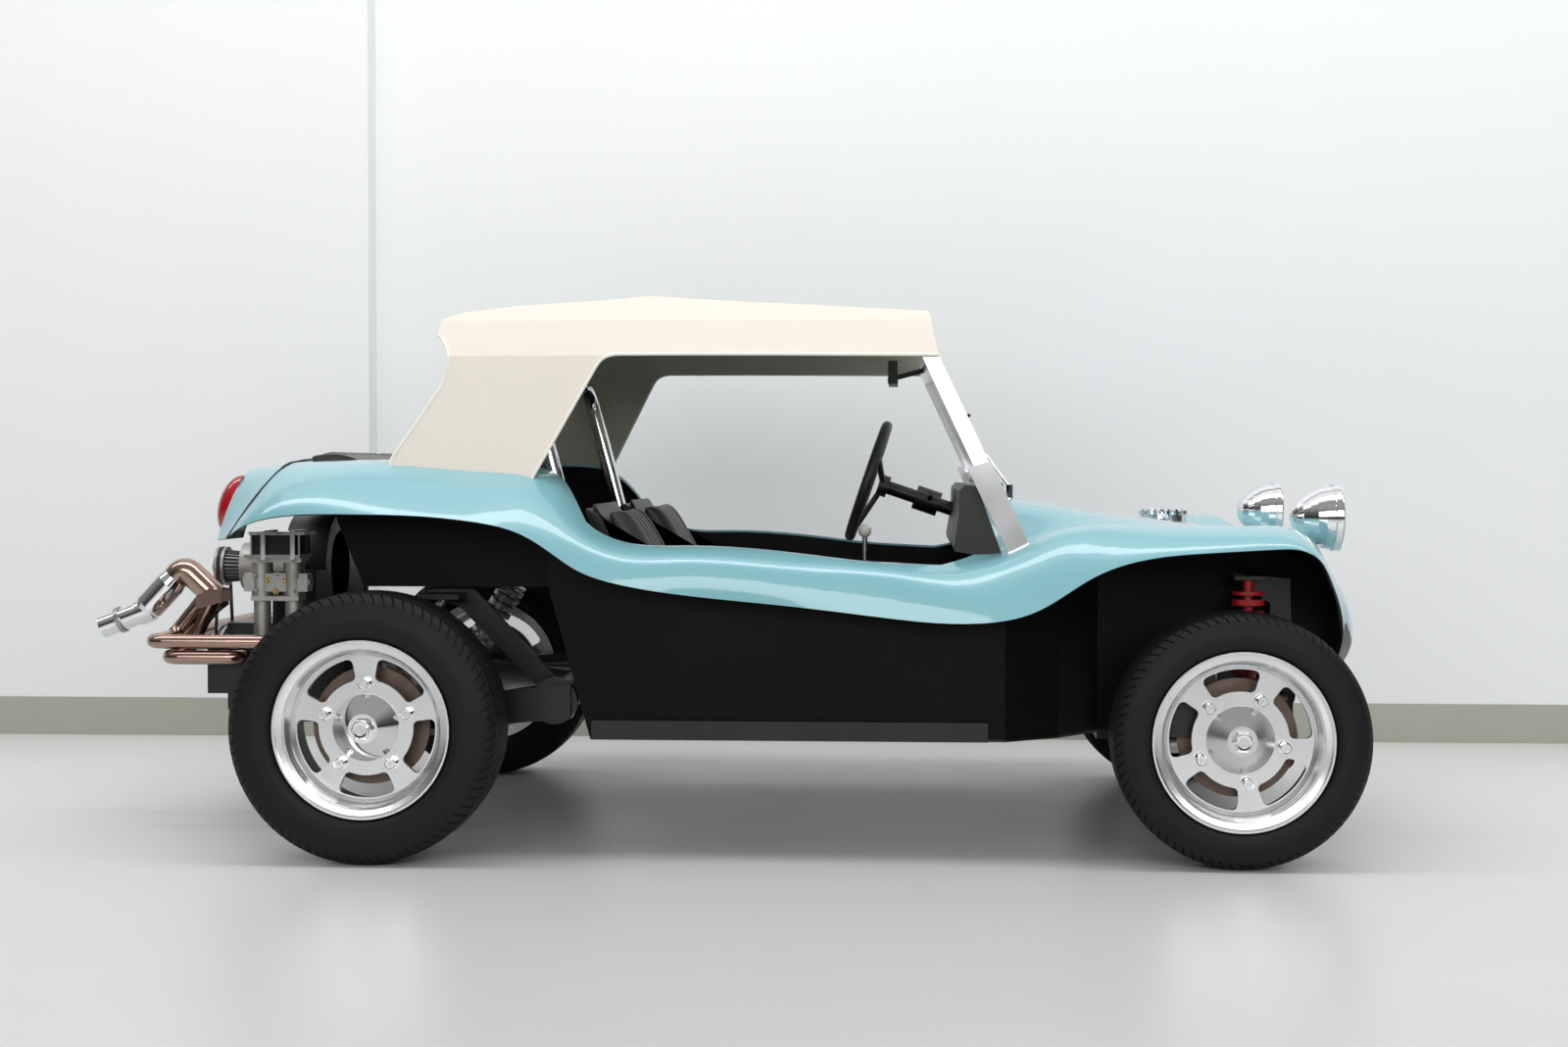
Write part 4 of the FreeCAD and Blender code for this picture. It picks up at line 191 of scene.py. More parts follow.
def pad(centre, wide, deep, thick, bolster):
    """Cushion between two sheets: centre + a * wide + b * deep, raised by h(a, b) above and lowered
    below. h = ((1 - |a|^p)(1 - |b|^p))^0.4, so the sheets meet at the edges. The bolsters raise the
    upper sheet near |a| = 1, the sewn channels sink it, and the sides pull in between the corners."""
    wide, deep, thick = (np.asarray(vector, float) for vector in (wide, deep, thick))
    s = np.sin(np.linspace(-np.pi / 2, np.pi / 2, PAD_LINES))
    a, b = np.meshgrid(s, s, indexing="ij")
    h = ((1 - np.abs(a) ** PAD_SQUARE) * (1 - np.abs(b) ** PAD_SQUARE)) ** 0.4
    place = a * PAD_CHANNELS / 2
    from_seam = (place - np.round(place)) * 2 * np.linalg.norm(wide) / PAD_CHANNELS
    seams = np.exp(-(from_seam / SEAM_WIDTH) ** 2) * np.clip((SEAM_END - np.abs(a)) / SEAM_FADE, 0, 1)
    outer = np.clip((np.abs(a) - BOLSTER_FROM) / BOLSTER_RUN, 0, 1)
    crown = 1 + PAD_CROWN * (1 - a ** 2) * (1 - b ** 2)
    raised = h * crown * (1 - SEAM_SINK * seams + bolster * outer)
    pull_a, pull_b = a * (1 - PULL_ACROSS * (1 - b ** 2)), b * (1 - PULL_ALONG * (1 - a ** 2))
    base = np.asarray(centre, float) + pull_a[..., None] * wide + pull_b[..., None] * deep
    upper = base + raised[..., None] * thick
    lower = base - (PAD_UNDER * h)[..., None] * thick
    return [(upper, False, False), (lower, False, False)]


TREES = {}


def surface_hit(node, origin, direction):
    """Where a line first meets a node of the frame."""
    if node not in TREES:
        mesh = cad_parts[node].data
        TREES[node] = BVHTree.FromPolygons([v.co.copy() for v in mesh.vertices],
                                           [tuple(p.vertices) for p in mesh.polygons])
    spot, normal, _, _ = TREES[node].ray_cast(Vector(origin), Vector(direction))
    if spot is None:
        raise RuntimeError(f"no surface of {node} at {origin}")
    return np.array(spot), np.array(normal)


def bolt_head(spot, normal, r, sunk=0.001, washer=0.0012):
    """Dome head of radius r on a washer, sunk a little into the surface."""
    profile = [(-sunk, 0), (-sunk, 1.5 * r), (washer, 1.5 * r), (washer, r), (0.45 * r, 0.92 * r),
               (0.75 * r, 0.6 * r), (0.85 * r, 0)]
    return turned(profile, spot, normal, 18)


# Shader effects shared by the finishes


def effect(name, inputs, outputs):
    """Empty node group with named sockets. Returns the group, its input and its output node."""
    tree = bpy.data.node_groups.new(name, "ShaderNodeTree")
    for label, kind, value in inputs:
        socket = tree.interface.new_socket(label, in_out="INPUT", socket_type=kind)
        if value is not None:
            socket.default_value = value
    for label, kind in outputs:
        tree.interface.new_socket(label, in_out="OUTPUT", socket_type=kind)
    return tree, tree.nodes.new("NodeGroupInput"), tree.nodes.new("NodeGroupOutput")


def add(tree, kind, values=None, **settings):
    """New node with its settings and the values of its unlinked sockets."""
    made = tree.nodes.new(kind)
    for key, value in settings.items():
        setattr(made, key, value)
    for key, value in (values or {}).items():
        made.inputs[key].default_value = value
    return made


def calc(tree, operation, *values):
    """Result of a sum on sockets and plain numbers."""
    made = add(tree, "ShaderNodeMath", operation=operation)
    for socket, value in zip(made.inputs, values):
        if isinstance(value, (int, float)):
            socket.default_value = value
        else:
            tree.links.new(value, socket)
    return made.outputs[0]


def mottle_effect():
    """Two colours mixed by soft noise, with fine noise for the roughness and the height."""
    tree, given, out = effect("Mottle", [
        ("Vector", "NodeSocketVector", None), ("Colour", "NodeSocketColor", (0.5, 0.5, 0.5, 1)),
        ("Other colour", "NodeSocketColor", (0.4, 0.4, 0.4, 1)), ("Patch scale", "NodeSocketFloat", 3.0),
        ("Grain scale", "NodeSocketFloat", 300.0), ("Roughness", "NodeSocketFloat", 0.4),
        ("Roughness spread", "NodeSocketFloat", 0.1)],
        [("Colour", "NodeSocketColor"), ("Roughness", "NodeSocketFloat"), ("Height", "NodeSocketFloat")])
    link = tree.links.new
    patch = add(tree, "ShaderNodeTexNoise", values={"Detail": 3.0, "Roughness": 0.55})
    grain = add(tree, "ShaderNodeTexNoise", values={"Detail": 2.0, "Roughness": 0.6})
    for noise, scale in ((patch, "Patch scale"), (grain, "Grain scale")):
        link(given.outputs["Vector"], noise.inputs["Vector"])
        link(given.outputs[scale], noise.inputs["Scale"])
    mix = add(tree, "ShaderNodeMix", data_type="RGBA")
    link(patch.outputs["Fac"], mix.inputs["Factor"])
    link(given.outputs["Colour"], mix.inputs["A"])
    link(given.outputs["Other colour"], mix.inputs["B"])
    centred = calc(tree, "SUBTRACT", patch.outputs["Fac"], 0.5)
    spread = calc(tree, "MULTIPLY_ADD", centred, given.outputs["Roughness spread"],
                  given.outputs["Roughness"])
    link(mix.outputs["Result"], out.inputs["Colour"])
    link(spread, out.inputs["Roughness"])
    link(grain.outputs["Fac"], out.inputs["Height"])
    return tree


def turned_effect():
    """Fine rings round the Y axis, such as a lathe leaves, as a value from 0 to 1."""
    tree, given, out = effect("Turned rings", [
        ("Vector", "NodeSocketVector", None), ("Pitch scale", "NodeSocketFloat", 200.0)],
        [("Rings", "NodeSocketFloat")])
    wave = add(tree, "ShaderNodeTexWave", wave_type="RINGS", rings_direction="Y",
               values={"Distortion": 0.4, "Detail": 2.0, "Detail Scale": 2.0})
    tree.links.new(given.outputs["Vector"], wave.inputs["Vector"])
    tree.links.new(given.outputs["Pitch scale"], wave.inputs["Scale"])
    tree.links.new(wave.outputs["Fac"], out.inputs["Rings"])
    return tree


def lining_and_shade_effect():
    """Mask of the faces that look down, or towards the middle plane beyond a distance from it, or
    along X towards the inside of the nose and the tail."""
    # On the body the mask takes black lining. On the hard top it paints shade on the faces inside the top.
    tree, given, out = effect("Lining and painted shade mask", [
        ("Normal", "NodeSocketVector", None), ("Vector", "NodeSocketVector", None),
        ("Down limit", "NodeSocketFloat", -0.2), ("Inward limit", "NodeSocketFloat", -0.3),
        ("Inward from", "NodeSocketFloat", 0.69), ("Nose from", "NodeSocketFloat", 1.2),
        ("Tail from", "NodeSocketFloat", -1.05)], [("Mask", "NodeSocketFloat")])
    parts = {}
    for name in ("Normal", "Vector"):
        split = add(tree, "ShaderNodeSeparateXYZ")
        tree.links.new(given.outputs[name], split.inputs[0])
        parts[name] = split.outputs
    facing, place = parts["Normal"], parts["Vector"]
    down = calc(tree, "LESS_THAN", facing["Z"], given.outputs["Down limit"])
    side = calc(tree, "SIGN", place["Y"])
    inward = calc(tree, "LESS_THAN", calc(tree, "MULTIPLY", facing["Y"], side), given.outputs["Inward limit"])
    far = calc(tree, "GREATER_THAN", calc(tree, "ABSOLUTE", place["Y"]), given.outputs["Inward from"])
    flat = calc(tree, "LESS_THAN", facing["Z"], 0.5)
    lip = calc(tree, "MULTIPLY", calc(tree, "MULTIPLY", inward, far), flat)
    nose = calc(tree, "MULTIPLY", calc(tree, "LESS_THAN", facing["X"], -0.5),
                calc(tree, "GREATER_THAN", place["X"], given.outputs["Nose from"]))
    tail = calc(tree, "MULTIPLY", calc(tree, "GREATER_THAN", facing["X"], 0.4),
                calc(tree, "LESS_THAN", place["X"], given.outputs["Tail from"]))
    mask = calc(tree, "MAXIMUM", calc(tree, "MAXIMUM", down, lip), calc(tree, "MAXIMUM", nose, tail))
    tree.links.new(mask, out.inputs["Mask"])
    return tree


EFFECTS, FINISHES, SLOTS = {}, {}, {}


def placed_effect(tree, name, builder, **values):
    """A shared effect placed in a material with its own values."""
    if name not in EFFECTS:
        EFFECTS[name] = builder()
    group = add(tree, "ShaderNodeGroup", node_tree=EFFECTS[name])
    for key, value in values.items():
        group.inputs[key.replace("_", " ")].default_value = value
    return group


def finish(name, colour, other=None, roughness=0.4, spread=0.1, metallic=0.0, patch=3.0, grain=300.0,
           bump=0.0, bump_size=0.0004, centre=None, rings=0.0, lining=None, limits=None, **sockets):
    """Principled material whose colour, roughness and bump come from the shared effects. A second colour
    covers the faces that the mask finds: black lining on the body, painted shade inside the hard top.
    Rings are turned about the centre."""
    material = bpy.data.materials.new(name)
    material.use_nodes = True
    tree = material.node_tree
    shader = tree.nodes["Principled BSDF"]
    link = tree.links.new
    place = add(tree, "ShaderNodeTexCoord")
    mapping = add(tree, "ShaderNodeMapping")
    if centre:
        mapping.inputs["Location"].default_value = tuple(-c for c in centre)
    link(place.outputs["Object"], mapping.inputs["Vector"])
    other = other or tuple(c * 0.9 for c in colour)
    group = placed_effect(tree, "Mottle", mottle_effect, Colour=(*colour, 1), Other_colour=(*other, 1),
                          Patch_scale=patch, Grain_scale=grain, Roughness=roughness, Roughness_spread=spread)
    link(mapping.outputs["Vector"], group.inputs["Vector"])
    tint, height = group.outputs["Colour"], group.outputs["Height"]
    if lining:
        mask = placed_effect(tree, "Lining and painted shade mask", lining_and_shade_effect, **(limits or {}))
        link(place.outputs["Normal"], mask.inputs["Normal"])
        link(place.outputs["Object"], mask.inputs["Vector"])
        mix = add(tree, "ShaderNodeMix", data_type="RGBA", values={"B": (*lining, 1)})
        link(mask.outputs["Mask"], mix.inputs["Factor"])
        link(tint, mix.inputs["A"])
        tint = mix.outputs["Result"]
        if "Coat_Weight" in sockets:
            link(calc(tree, "SUBTRACT", sockets.pop("Coat_Weight"), mask.outputs["Mask"]),
                 shader.inputs["Coat Weight"])
    link(tint, shader.inputs["Base Color"])
    link(group.outputs["Roughness"], shader.inputs["Roughness"])
    shader.inputs["Metallic"].default_value = metallic
    if rings:
        turned_rings = placed_effect(tree, "Turned rings", turned_effect, Pitch_scale=rings)
        link(mapping.outputs["Vector"], turned_rings.inputs["Vector"])
        height = turned_rings.outputs["Rings"]
    if bump:
        relief = add(tree, "ShaderNodeBump", values={"Strength": bump, "Distance": bump_size})
        link(height, relief.inputs["Height"])
        link(relief.outputs["Normal"], shader.inputs["Normal"])
    for key, value in sockets.items():
        shader.inputs[key.replace("_", " ")].default_value = value
    return material


BLACK = ((0.0035, 0.0035, 0.004), (0.007, 0.007, 0.0075))


def make_finishes(colours):
    """Every finish of the car: name, the record's slot, colours and the way the surface shines."""
    paint, top = tuple(colours.paint_colour), tuple(colours.top_colour)
    # Limits of the mask that paints shade on the faces inside the hard top.
    inside = {"Down_limit": -0.25, "Inward_limit": -0.25, "Inward_from": 0.3, "Tail_from": -0.45}
    table = {
        "paint": ("Body paint", "paint_body", paint, tuple(c * 0.97 for c in paint), dict(
            roughness=0.30, spread=0.04, patch=2.0, grain=900.0, bump=0.015, lining=(0.004, 0.004, 0.0045),
            Coat_Weight=1.0, Coat_Roughness=0.03)),
        "tub_black": ("Tub paint", "paint_black", *BLACK, dict(
            roughness=0.38, spread=0.22, patch=3.0, grain=120.0, bump=0.3, bump_size=0.0007,
            Specular_IOR_Level=0.08)),
        # The darker, greener cream on the top's inside faces is painted shade.
        "cream": ("Top covering", "cream_top", top, tuple(c * 0.95 for c in top), dict(
            roughness=0.62, spread=0.08, patch=4.0, grain=620.0, bump=0.45, bump_size=0.0008,
            lining=(0.55, 0.54, 0.44), limits=inside)),
        "piping": ("White piping", "cream_top", (0.88, 0.85, 0.78), (0.82, 0.79, 0.72), dict(
            roughness=0.38, grain=300.0, bump=0.1)),
        "chrome": ("Chrome", "chrome", (0.86, 0.86, 0.87), (0.80, 0.80, 0.82), dict(
            roughness=0.05, spread=0.04, metallic=1.0, patch=12.0)),
        "alloy": ("Polished alloy", "alloy", (0.80, 0.80, 0.81), (0.70, 0.70, 0.72), dict(
            roughness=0.24, spread=0.12, metallic=1.0, patch=9.0, grain=700.0, bump=0.05)),
        "alloy_front": ("Turned alloy, front", "alloy", (0.86, 0.86, 0.87), (0.74, 0.74, 0.75), dict(
            roughness=0.26, spread=0.12, metallic=1.0, patch=8.0, centre=(FRONT_X, 0, FRONT_RADIUS),
            rings=200.0, bump=0.12, bump_size=0.0003)),
        "alloy_rear": ("Turned alloy, rear", "alloy", (0.86, 0.86, 0.87), (0.74, 0.74, 0.75), dict(
            roughness=0.26, spread=0.12, metallic=1.0, patch=8.0, centre=(REAR_X, 0, REAR_RADIUS),
            rings=200.0, bump=0.12, bump_size=0.0003)),
        "cast": ("Cast alloy", "cast_alloy", (0.46, 0.45, 0.43), (0.26, 0.25, 0.23), dict(
            roughness=0.48, spread=0.25, metallic=0.9, patch=22.0, grain=420.0, bump=0.4, bump_size=0.0008)),
        "black_steel": ("Chassis black", "black_steel", *BLACK, dict(
            roughness=0.36, spread=0.18, patch=8.0, grain=300.0, bump=0.12)),
        "steel": ("Bare steel", "steel", (0.45, 0.45, 0.45), (0.34, 0.34, 0.34), dict(
            roughness=0.35, spread=0.2, metallic=1.0, patch=16.0, grain=500.0, bump=0.1)),
        "disc": ("Brake iron", "steel", (0.20, 0.15, 0.12), (0.11, 0.08, 0.07), dict(
            roughness=0.5, spread=0.3, metallic=0.85, patch=24.0, grain=500.0, bump=0.2)),
        "brass": ("Jet brass", "cast_alloy", (0.62, 0.46, 0.20), (0.50, 0.36, 0.15), dict(
            roughness=0.25, metallic=1.0, patch=30.0, grain=500.0, bump=0.05)),
        "rubber": ("Tyre rubber", "tyre", (0.0045, 0.0045, 0.005), (0.008, 0.008, 0.0085), dict(
            roughness=0.56, spread=0.16, patch=9.0, grain=900.0, bump=0.3, Specular_IOR_Level=0.25)),
        "seal": ("Seal rubber", "rubber", *BLACK, dict(roughness=0.6, grain=400.0, bump=0.1)),
        "bronze": ("Header coating", "bronze_pipe", (0.46, 0.31, 0.25), (0.36, 0.25, 0.22), dict(
            roughness=0.16, spread=0.14, metallic=1.0, patch=7.0, grain=300.0, bump=0.03)),
        "vinyl": ("Seat vinyl", "seat_black", (0.014, 0.014, 0.016), (0.022, 0.022, 0.024), dict(
            roughness=0.46, spread=0.12, patch=6.0, grain=420.0, bump=0.5, bump_size=0.0007,
            Sheen_Weight=0.15)),
        "plastic": ("Black moulding", "black_plastic", *BLACK, dict(
            roughness=0.42, spread=0.1, patch=10.0, grain=600.0, bump=0.15)),
        "red": ("Spring red", "spring_red", (0.45, 0.010, 0.014), (0.35, 0.008, 0.012), dict(
            roughness=0.3, patch=8.0, Coat_Weight=0.4)),
        "lens_red": ("Tail lens", "lamp_red", (0.46, 0.004, 0.014), (0.34, 0.002, 0.008), dict(
            roughness=0.10, spread=0.04, patch=8.0, grain=160.0, bump=0.3, Coat_Weight=1.0)),
        "glass": ("Window glass", "glass", (0.95, 0.98, 0.97), (0.94, 0.97, 0.96), dict(
            roughness=0.01, spread=0.01, patch=2.0, Transmission_Weight=1.0, IOR=1.1)),
        "lamp_glass": ("Lamp glass", "glass", (0.95, 0.96, 0.97), (0.90, 0.92, 0.93), dict(
            roughness=0.04, spread=0.02, patch=30.0, Transmission_Weight=0.9, IOR=1.5)),
    }
    for key, (name, slot, colour, other, more) in table.items():
        FINISHES[key] = finish(name, colour, other, **more)
        SLOTS[key] = slot


NODE_FINISHES = {
    "paint": "body_rear body_nose body_sides tail_panel",
    "tub_black": "tub", "cream": "hard_top", "lens_red": "tail_lamps", "red": "shocks_front",
    "glass": "windshield_glass rear_window", "seal": "fan_belt",
    "cast": "transaxle alternator carburettors", "bronze": "exhaust_pipes",
    "alloy": "windshield_frame", "chrome": "air_filters muffler roll_bar headlamps fuel_cap wipers",
    "steel": "crank_pulley gear_lever tie_rods shocks_rear",
    "vinyl": "seat_left seat_right rear_seat steering_wheel",
    "plastic": "dash steering_column mirror",
    "black_steel": "floor_pan front_beam rear_axle engine_case fan_shroud fuel_tank "
                   "knuckle_left knuckle_right",
    "rubber": "tyre_fl tyre_fr tyre_rl tyre_rr",
    "alloy_front": "rim_fl rim_fr", "alloy_rear": "rim_rl rim_rr",
    "disc": "brake_disc_fl brake_disc_fr brake_disc_rl brake_disc_rr",
}


# Settings


class BuggyColours(bpy.types.PropertyGroup):
    """Colours of the car."""
    paint_colour: bpy.props.FloatVectorProperty(
        name="Paint", description="Gloss paint of the body", subtype="COLOR",
        default=(0.232, 0.502, 0.560), min=0, max=1)
    top_colour: bpy.props.FloatVectorProperty(
        name="Top", description="Covering of the hard top", subtype="COLOR",
        default=(0.80, 0.745, 0.655), min=0, max=1)


class BuggyTread(bpy.types.PropertyGroup):
    """Sizes of the road tread."""
    slots: bpy.props.IntProperty(name="Slots", description="Shoulder slots in a turn", default=78, min=12)
    slot_depth: bpy.props.FloatProperty(name="Slot depth", description="Depth of a shoulder slot",
                                        default=0.005, unit="LENGTH")
    groove_depth: bpy.props.FloatProperty(
        name="Groove depth", description="Depth of a groove round the tread",
        default=0.007, unit="LENGTH")
    groove_width: bpy.props.FloatProperty(
        name="Groove width", description="Width of a groove round the tread",
        default=0.007, unit="LENGTH")


class BuggyTrim(bpy.types.PropertyGroup):
    """Sizes of the thin trim."""
    piping_radius: bpy.props.FloatProperty(name="Piping", description="Radius of the hard top's piping",
                                           default=0.0042, unit="LENGTH")
    seam_radius: bpy.props.FloatProperty(name="Tail seam", description="Radius of the tail seam's strip",
                                         default=0.0035, unit="LENGTH")
    pad_height: bpy.props.FloatProperty(name="Padding", description="How far a seat pad stands up",
                                        default=0.036, unit="LENGTH")


class BuggyCamera(bpy.types.PropertyGroup):
    """Where the photograph was taken from."""
    spot: bpy.props.FloatVectorProperty(name="Place", description="Camera's place", subtype="TRANSLATION",
                                        unit="LENGTH", default=(0.505198, -5.747893, 0.923870))
    turn: bpy.props.FloatVectorProperty(name="Yaw, pitch and roll", description="Turn from looking along +Y",
                                        subtype="EULER", default=(-0.0592430834, -0.0255968040, 0.000346078))
    lens: bpy.props.FloatProperty(name="Lens", description="Focal length in millimetres", default=49.5, min=1)


# Operators, one for each piece or group of like pieces


class BUGGY_OT_camera(bpy.types.Operator):
    """Sets the camera where the photograph was taken from"""
    bl_idname = "buggy.camera"
    bl_label = "Camera"

    def execute(self, context):
        values = context.scene.buggy_camera
        yaw, pitch, roll = values.turn
        ahead = Vector((math.sin(yaw) * math.cos(pitch), math.cos(yaw) * math.cos(pitch), math.sin(pitch)))
        level = Vector((math.cos(yaw), -math.sin(yaw), 0.0))
        upright = level.cross(ahead)
        right = level * math.cos(roll) + upright * math.sin(roll)
        up = upright * math.cos(roll) - level * math.sin(roll)
        data = bpy.data.cameras.new("Camera")
        data.lens = values.lens
        data.sensor_width = 36.0
        camera = bpy.data.objects.new("Camera", data)
        context.scene.collection.objects.link(camera)
        camera.matrix_world = Matrix((
            (right.x, up.x, -ahead.x, values.spot[0]),
            (right.y, up.y, -ahead.y, values.spot[1]),
            (right.z, up.z, -ahead.z, values.spot[2]),
            (0, 0, 0, 1)))
        context.scene.camera = camera
        return {"FINISHED"}


class BUGGY_OT_finishes(bpy.types.Operator):
    """Gives every node of the frame its finish"""
    bl_idname = "buggy.finishes"
    bl_label = "Finishes"

    def execute(self, context):
        make_finishes(context.scene.buggy_colours)
        for key, names in NODE_FINISHES.items():
            for name in names.split():
                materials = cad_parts[name].data.materials
                materials.clear()
                materials.append(FINISHES[key])
        return {"FINISHED"}


# Tyre: the rim's seat, the crown, the bead, and the thickness under the tread.
RIM_SEAT, CROWN_INSET, CROWN_FALL = 0.208, 0.0288, 0.003
BEAD_INSET, BEAD_RADIUS, TREAD_THICK = 0.0213, 0.1913, 0.017
# Shares of the width: grooves, the grid's rows at the shoulder, and where the slots and their lean begin.
GROOVE_SHARES, SHOULDER_SHARES, SLOTS_FROM, LEAN_FROM = (0.085, 0.235), (0.296, 0.301, 0.325), 0.2985, 0.30
# Share of the wall's height down to which the slots run, how they lean, and how steep a groove's wall is.
SLOTS_DOWN_TO, SLOT_LEAN, GROOVE_WALL = 0.79, 0.75, 0.001
# Ridges round the wall: share of the wall's height, and spread.
WALL_RIDGES, RIDGE_HEIGHT = ((0.70, 0.0022), (0.20, 0.0030)), 0.0011
# Columns in one pitch of the tread, and which of them are sunk as a slot.
PITCH_COLUMNS, PITCH_SUNK = np.array([0.0, 0.40, 0.44, 0.56, 0.60]), np.array([0, 0, 1, 1, 0])


class BUGGY_OT_tyres(bpy.types.Operator):
    """Moulds the road tyres with their tread in place of the plain ones"""
    bl_idname = "buggy.tyres"
    bl_label = "Tyres"

    def execute(self, context):
        sizes = context.scene.buggy_tread
        for corner, side, place_x, track, radius, width, _ in WHEELS:
            grid = tyre_surface(radius, width, sizes)
            grid = grid * (1, side, 1) + (place_x, side * track, radius)
            made = build(f"tyre_{corner}_tread", [(grid, True, True)], "rubber", f"wheel_{corner}", sharp=38)
            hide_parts(f"tyre_{corner}")
        return {"FINISHED"}


def tyre_surface(radius, width, sizes):
    """Tyre about the Y axis. The outline is a crown that falls with the square of the distance from
    the middle, a curve over the shoulder and the bulged wall, and a wall inside it. Four grooves run
    round. The slots sink the rows of the shoulder in two of the five columns of each pitch, and lean
    with the distance from the middle."""
    half, rise = width / 2, radius - RIM_SEAT
    crown = half - CROWN_INSET
    places, radii = [0.0], [radius]
    for share in GROOVE_SHARES:
        middle, edge = share * width, sizes.groove_width / 2
        for step, depth in ((-edge, 0), (GROOVE_WALL - edge, 1), (edge - GROOVE_WALL, 1), (edge, 0)):
            places.append(middle + step)
            radii.append(radius - CROWN_FALL * ((middle + step) / crown) ** 2 - depth * sizes.groove_depth)
    for share in SHOULDER_SHARES:
        places.append(share * width)
        radii.append(radius - CROWN_FALL * (share * width / crown) ** 2)
    wall = smooth_path([(crown, radius - CROWN_FALL), (half - 0.0115, RIM_SEAT + 0.80 * rise),
                        (half, RIM_SEAT + 0.45 * rise), (half - 0.004, RIM_SEAT + 0.14 * rise),
                        (half - BEAD_INSET, RIM_SEAT + 0.0006)], 44)
    wall[:, 0] += RIDGE_HEIGHT * sum(np.exp(-((wall[:, 1] - RIM_SEAT - share * rise) / spread) ** 2)
                                     for share, spread in WALL_RIDGES)
    outer = np.concatenate([np.stack([places, radii], -1), wall, [(half - BEAD_INSET, BEAD_RADIUS)]])
    inner = np.array([(half - 0.032, 0.1925), (half - 0.016, RIM_SEAT + 0.40 * rise),
                      (half - 0.045, radius - TREAD_THICK), (0.0, radius - TREAD_THICK)])
    line = np.concatenate([outer, inner])
    slotted = ((line[:, 0] > SLOTS_FROM * width) & (line[:, 1] > RIM_SEAT + SLOTS_DOWN_TO * rise)
               & (np.arange(len(line)) < len(outer))).astype(float)
    mirrored = line[-2:0:-1] * (-1, 1)
    line, slotted = np.concatenate([line, mirrored]), np.concatenate([slotted, slotted[-2:0:-1]])
    turn = (np.arange(sizes.slots)[:, None] + PITCH_COLUMNS).ravel() * 2 * np.pi / sizes.slots
    sunk = np.tile(PITCH_SUNK, sizes.slots)
    beyond = np.clip(np.abs(line[:, 0]) - LEAN_FROM * width, 0, None)
    lean = np.sign(line[:, 0]) * SLOT_LEAN * beyond / radius
    angle = turn[None] + lean[:, None]
    reach = line[:, 1:] - sizes.slot_depth * slotted[:, None] * sunk[None]
    return np.stack([reach * np.sin(angle), np.repeat(line[:, :1], len(turn), 1), reach * np.cos(angle)], -1)


# How far the rim's face stands out from the tyre's middle, and the hub cap's finish, front and rear.
RIM_FACES = {"f": (0.0295, "alloy"), "r": (0.0375, "chrome")}
LUGS, LUG_CIRCLE = 5, 0.1025
# Profiles of the wheel trim: places out from the rim's face, and radii.
HUB_CAP = ((-0.001, 0), (-0.001, 0.0786), (0.0012, 0.0788), (0.0306, 0.0346), (0.0306, 0))
HUB_NUT = ((0.0290, 0), (0.0290, 0.0258), (0.0430, 0.0258), (0.0455, 0.0225), (0.0455, 0))
HUB_RING = ((0.0440, 0), (0.0440, 0.0205), (0.0540, 0.0195), (0.0552, 0.0175), (0.0548, 0.0135),
            (0.0455, 0.0125), (0.0455, 0))
WHEEL_NUT = ((-0.001, 0), (-0.001, 0.0165), (0.0020, 0.0165), (0.0020, 0.0132), (0.0190, 0.0130),
             (0.0215, 0.0105), (0.0215, 0.0068), (0.0130, 0.0064), (0.0130, 0))


class BUGGY_OT_wheel_trim(bpy.types.Operator):
    """Fits the hub caps, the hub nuts and the wheel nuts"""
    bl_idname = "buggy.wheel_trim"
    bl_label = "Wheel trim"

    def execute(self, context):
        for corner, side, place_x, track, radius, _, phase in WHEELS:
            face, cap_finish = RIM_FACES[corner[0]]
            centre = np.array([place_x, side * (track + face), radius])
            out = (0, side, 0)
            build(f"hub_cap_{corner}", [turned(HUB_CAP, centre, out, 96)], cap_finish, f"wheel_{corner}",
                  sharp=28)
            grids = [turned(HUB_NUT, centre, out, 6), turned(HUB_RING, centre, out, 48)]
            for angle in np.radians(360 / LUGS * np.arange(LUGS) + phase):
                spot = centre + LUG_CIRCLE * np.array([-side * math.cos(angle), 0, math.sin(angle)])
                grids.append(turned(WHEEL_NUT, spot, out, 12))
            build(f"wheel_nuts_{corner}", grids, "chrome", f"wheel_{corner}", sharp=28)
        return {"FINISHED"}


# Edge of the hard top, in shares of the wheelbase and of the top's rise over the deck.
TOP_EDGE = np.array([
    (0.0575, 0.690), (0.0625, 0.672), (0.0705, 0.613), (0.0742, 0.559), (0.0725, 0.480), (0.0680, 0.410),
    (0.0590, 0.349), (0.0375, 0.189), (0.0147, 0.029), (0.0112, -0.0156), (0.0122, -0.045),
    (0.0153, -0.065), (0.0190, -0.080), (0.0243, -0.090), (0.0991, -0.118), (0.1600, -0.131),
    (0.1685, -0.129), (0.1755, -0.119), (0.1800, -0.100), (0.1850, -0.056), (0.2125, 0.178),
    (0.2460, 0.465), (0.2530, 0.522), (0.2560, 0.541), (0.2600, 0.557), (0.2660, 0.571),
    (0.2740, 0.579), (0.2820, 0.5805), (0.433, 0.580), (0.658, 0.573)])
# Half width of the hard top at shares of its rise, and how far in the piping lies.
TOP_RISES, TOP_HALVES, PIPING_INSET = (-0.129, 0.573, 0.775), (0.645, 0.570, 0.500), 0.001


class BUGGY_OT_top_trim(bpy.types.Operator):
    """Sews the white piping along the edges of the hard top"""
    bl_idname = "buggy.top_trim"
    bl_label = "Top piping"

    def execute(self, context):
        half = np.interp(TOP_EDGE[:, 1], TOP_RISES, TOP_HALVES) - PIPING_INSET
        for side, name in SIDE_NAMES[::-1]:
            path = np.stack([along(TOP_EDGE[:, 0]), side * half, DECK + TOP_RISE * TOP_EDGE[:, 1]], -1)
            grid = tube(smooth_path(path, 240), context.scene.buggy_trim.piping_radius, 10)
            build(f"top_piping_{name}", [grid], "piping")
        return {"FINISHED"}


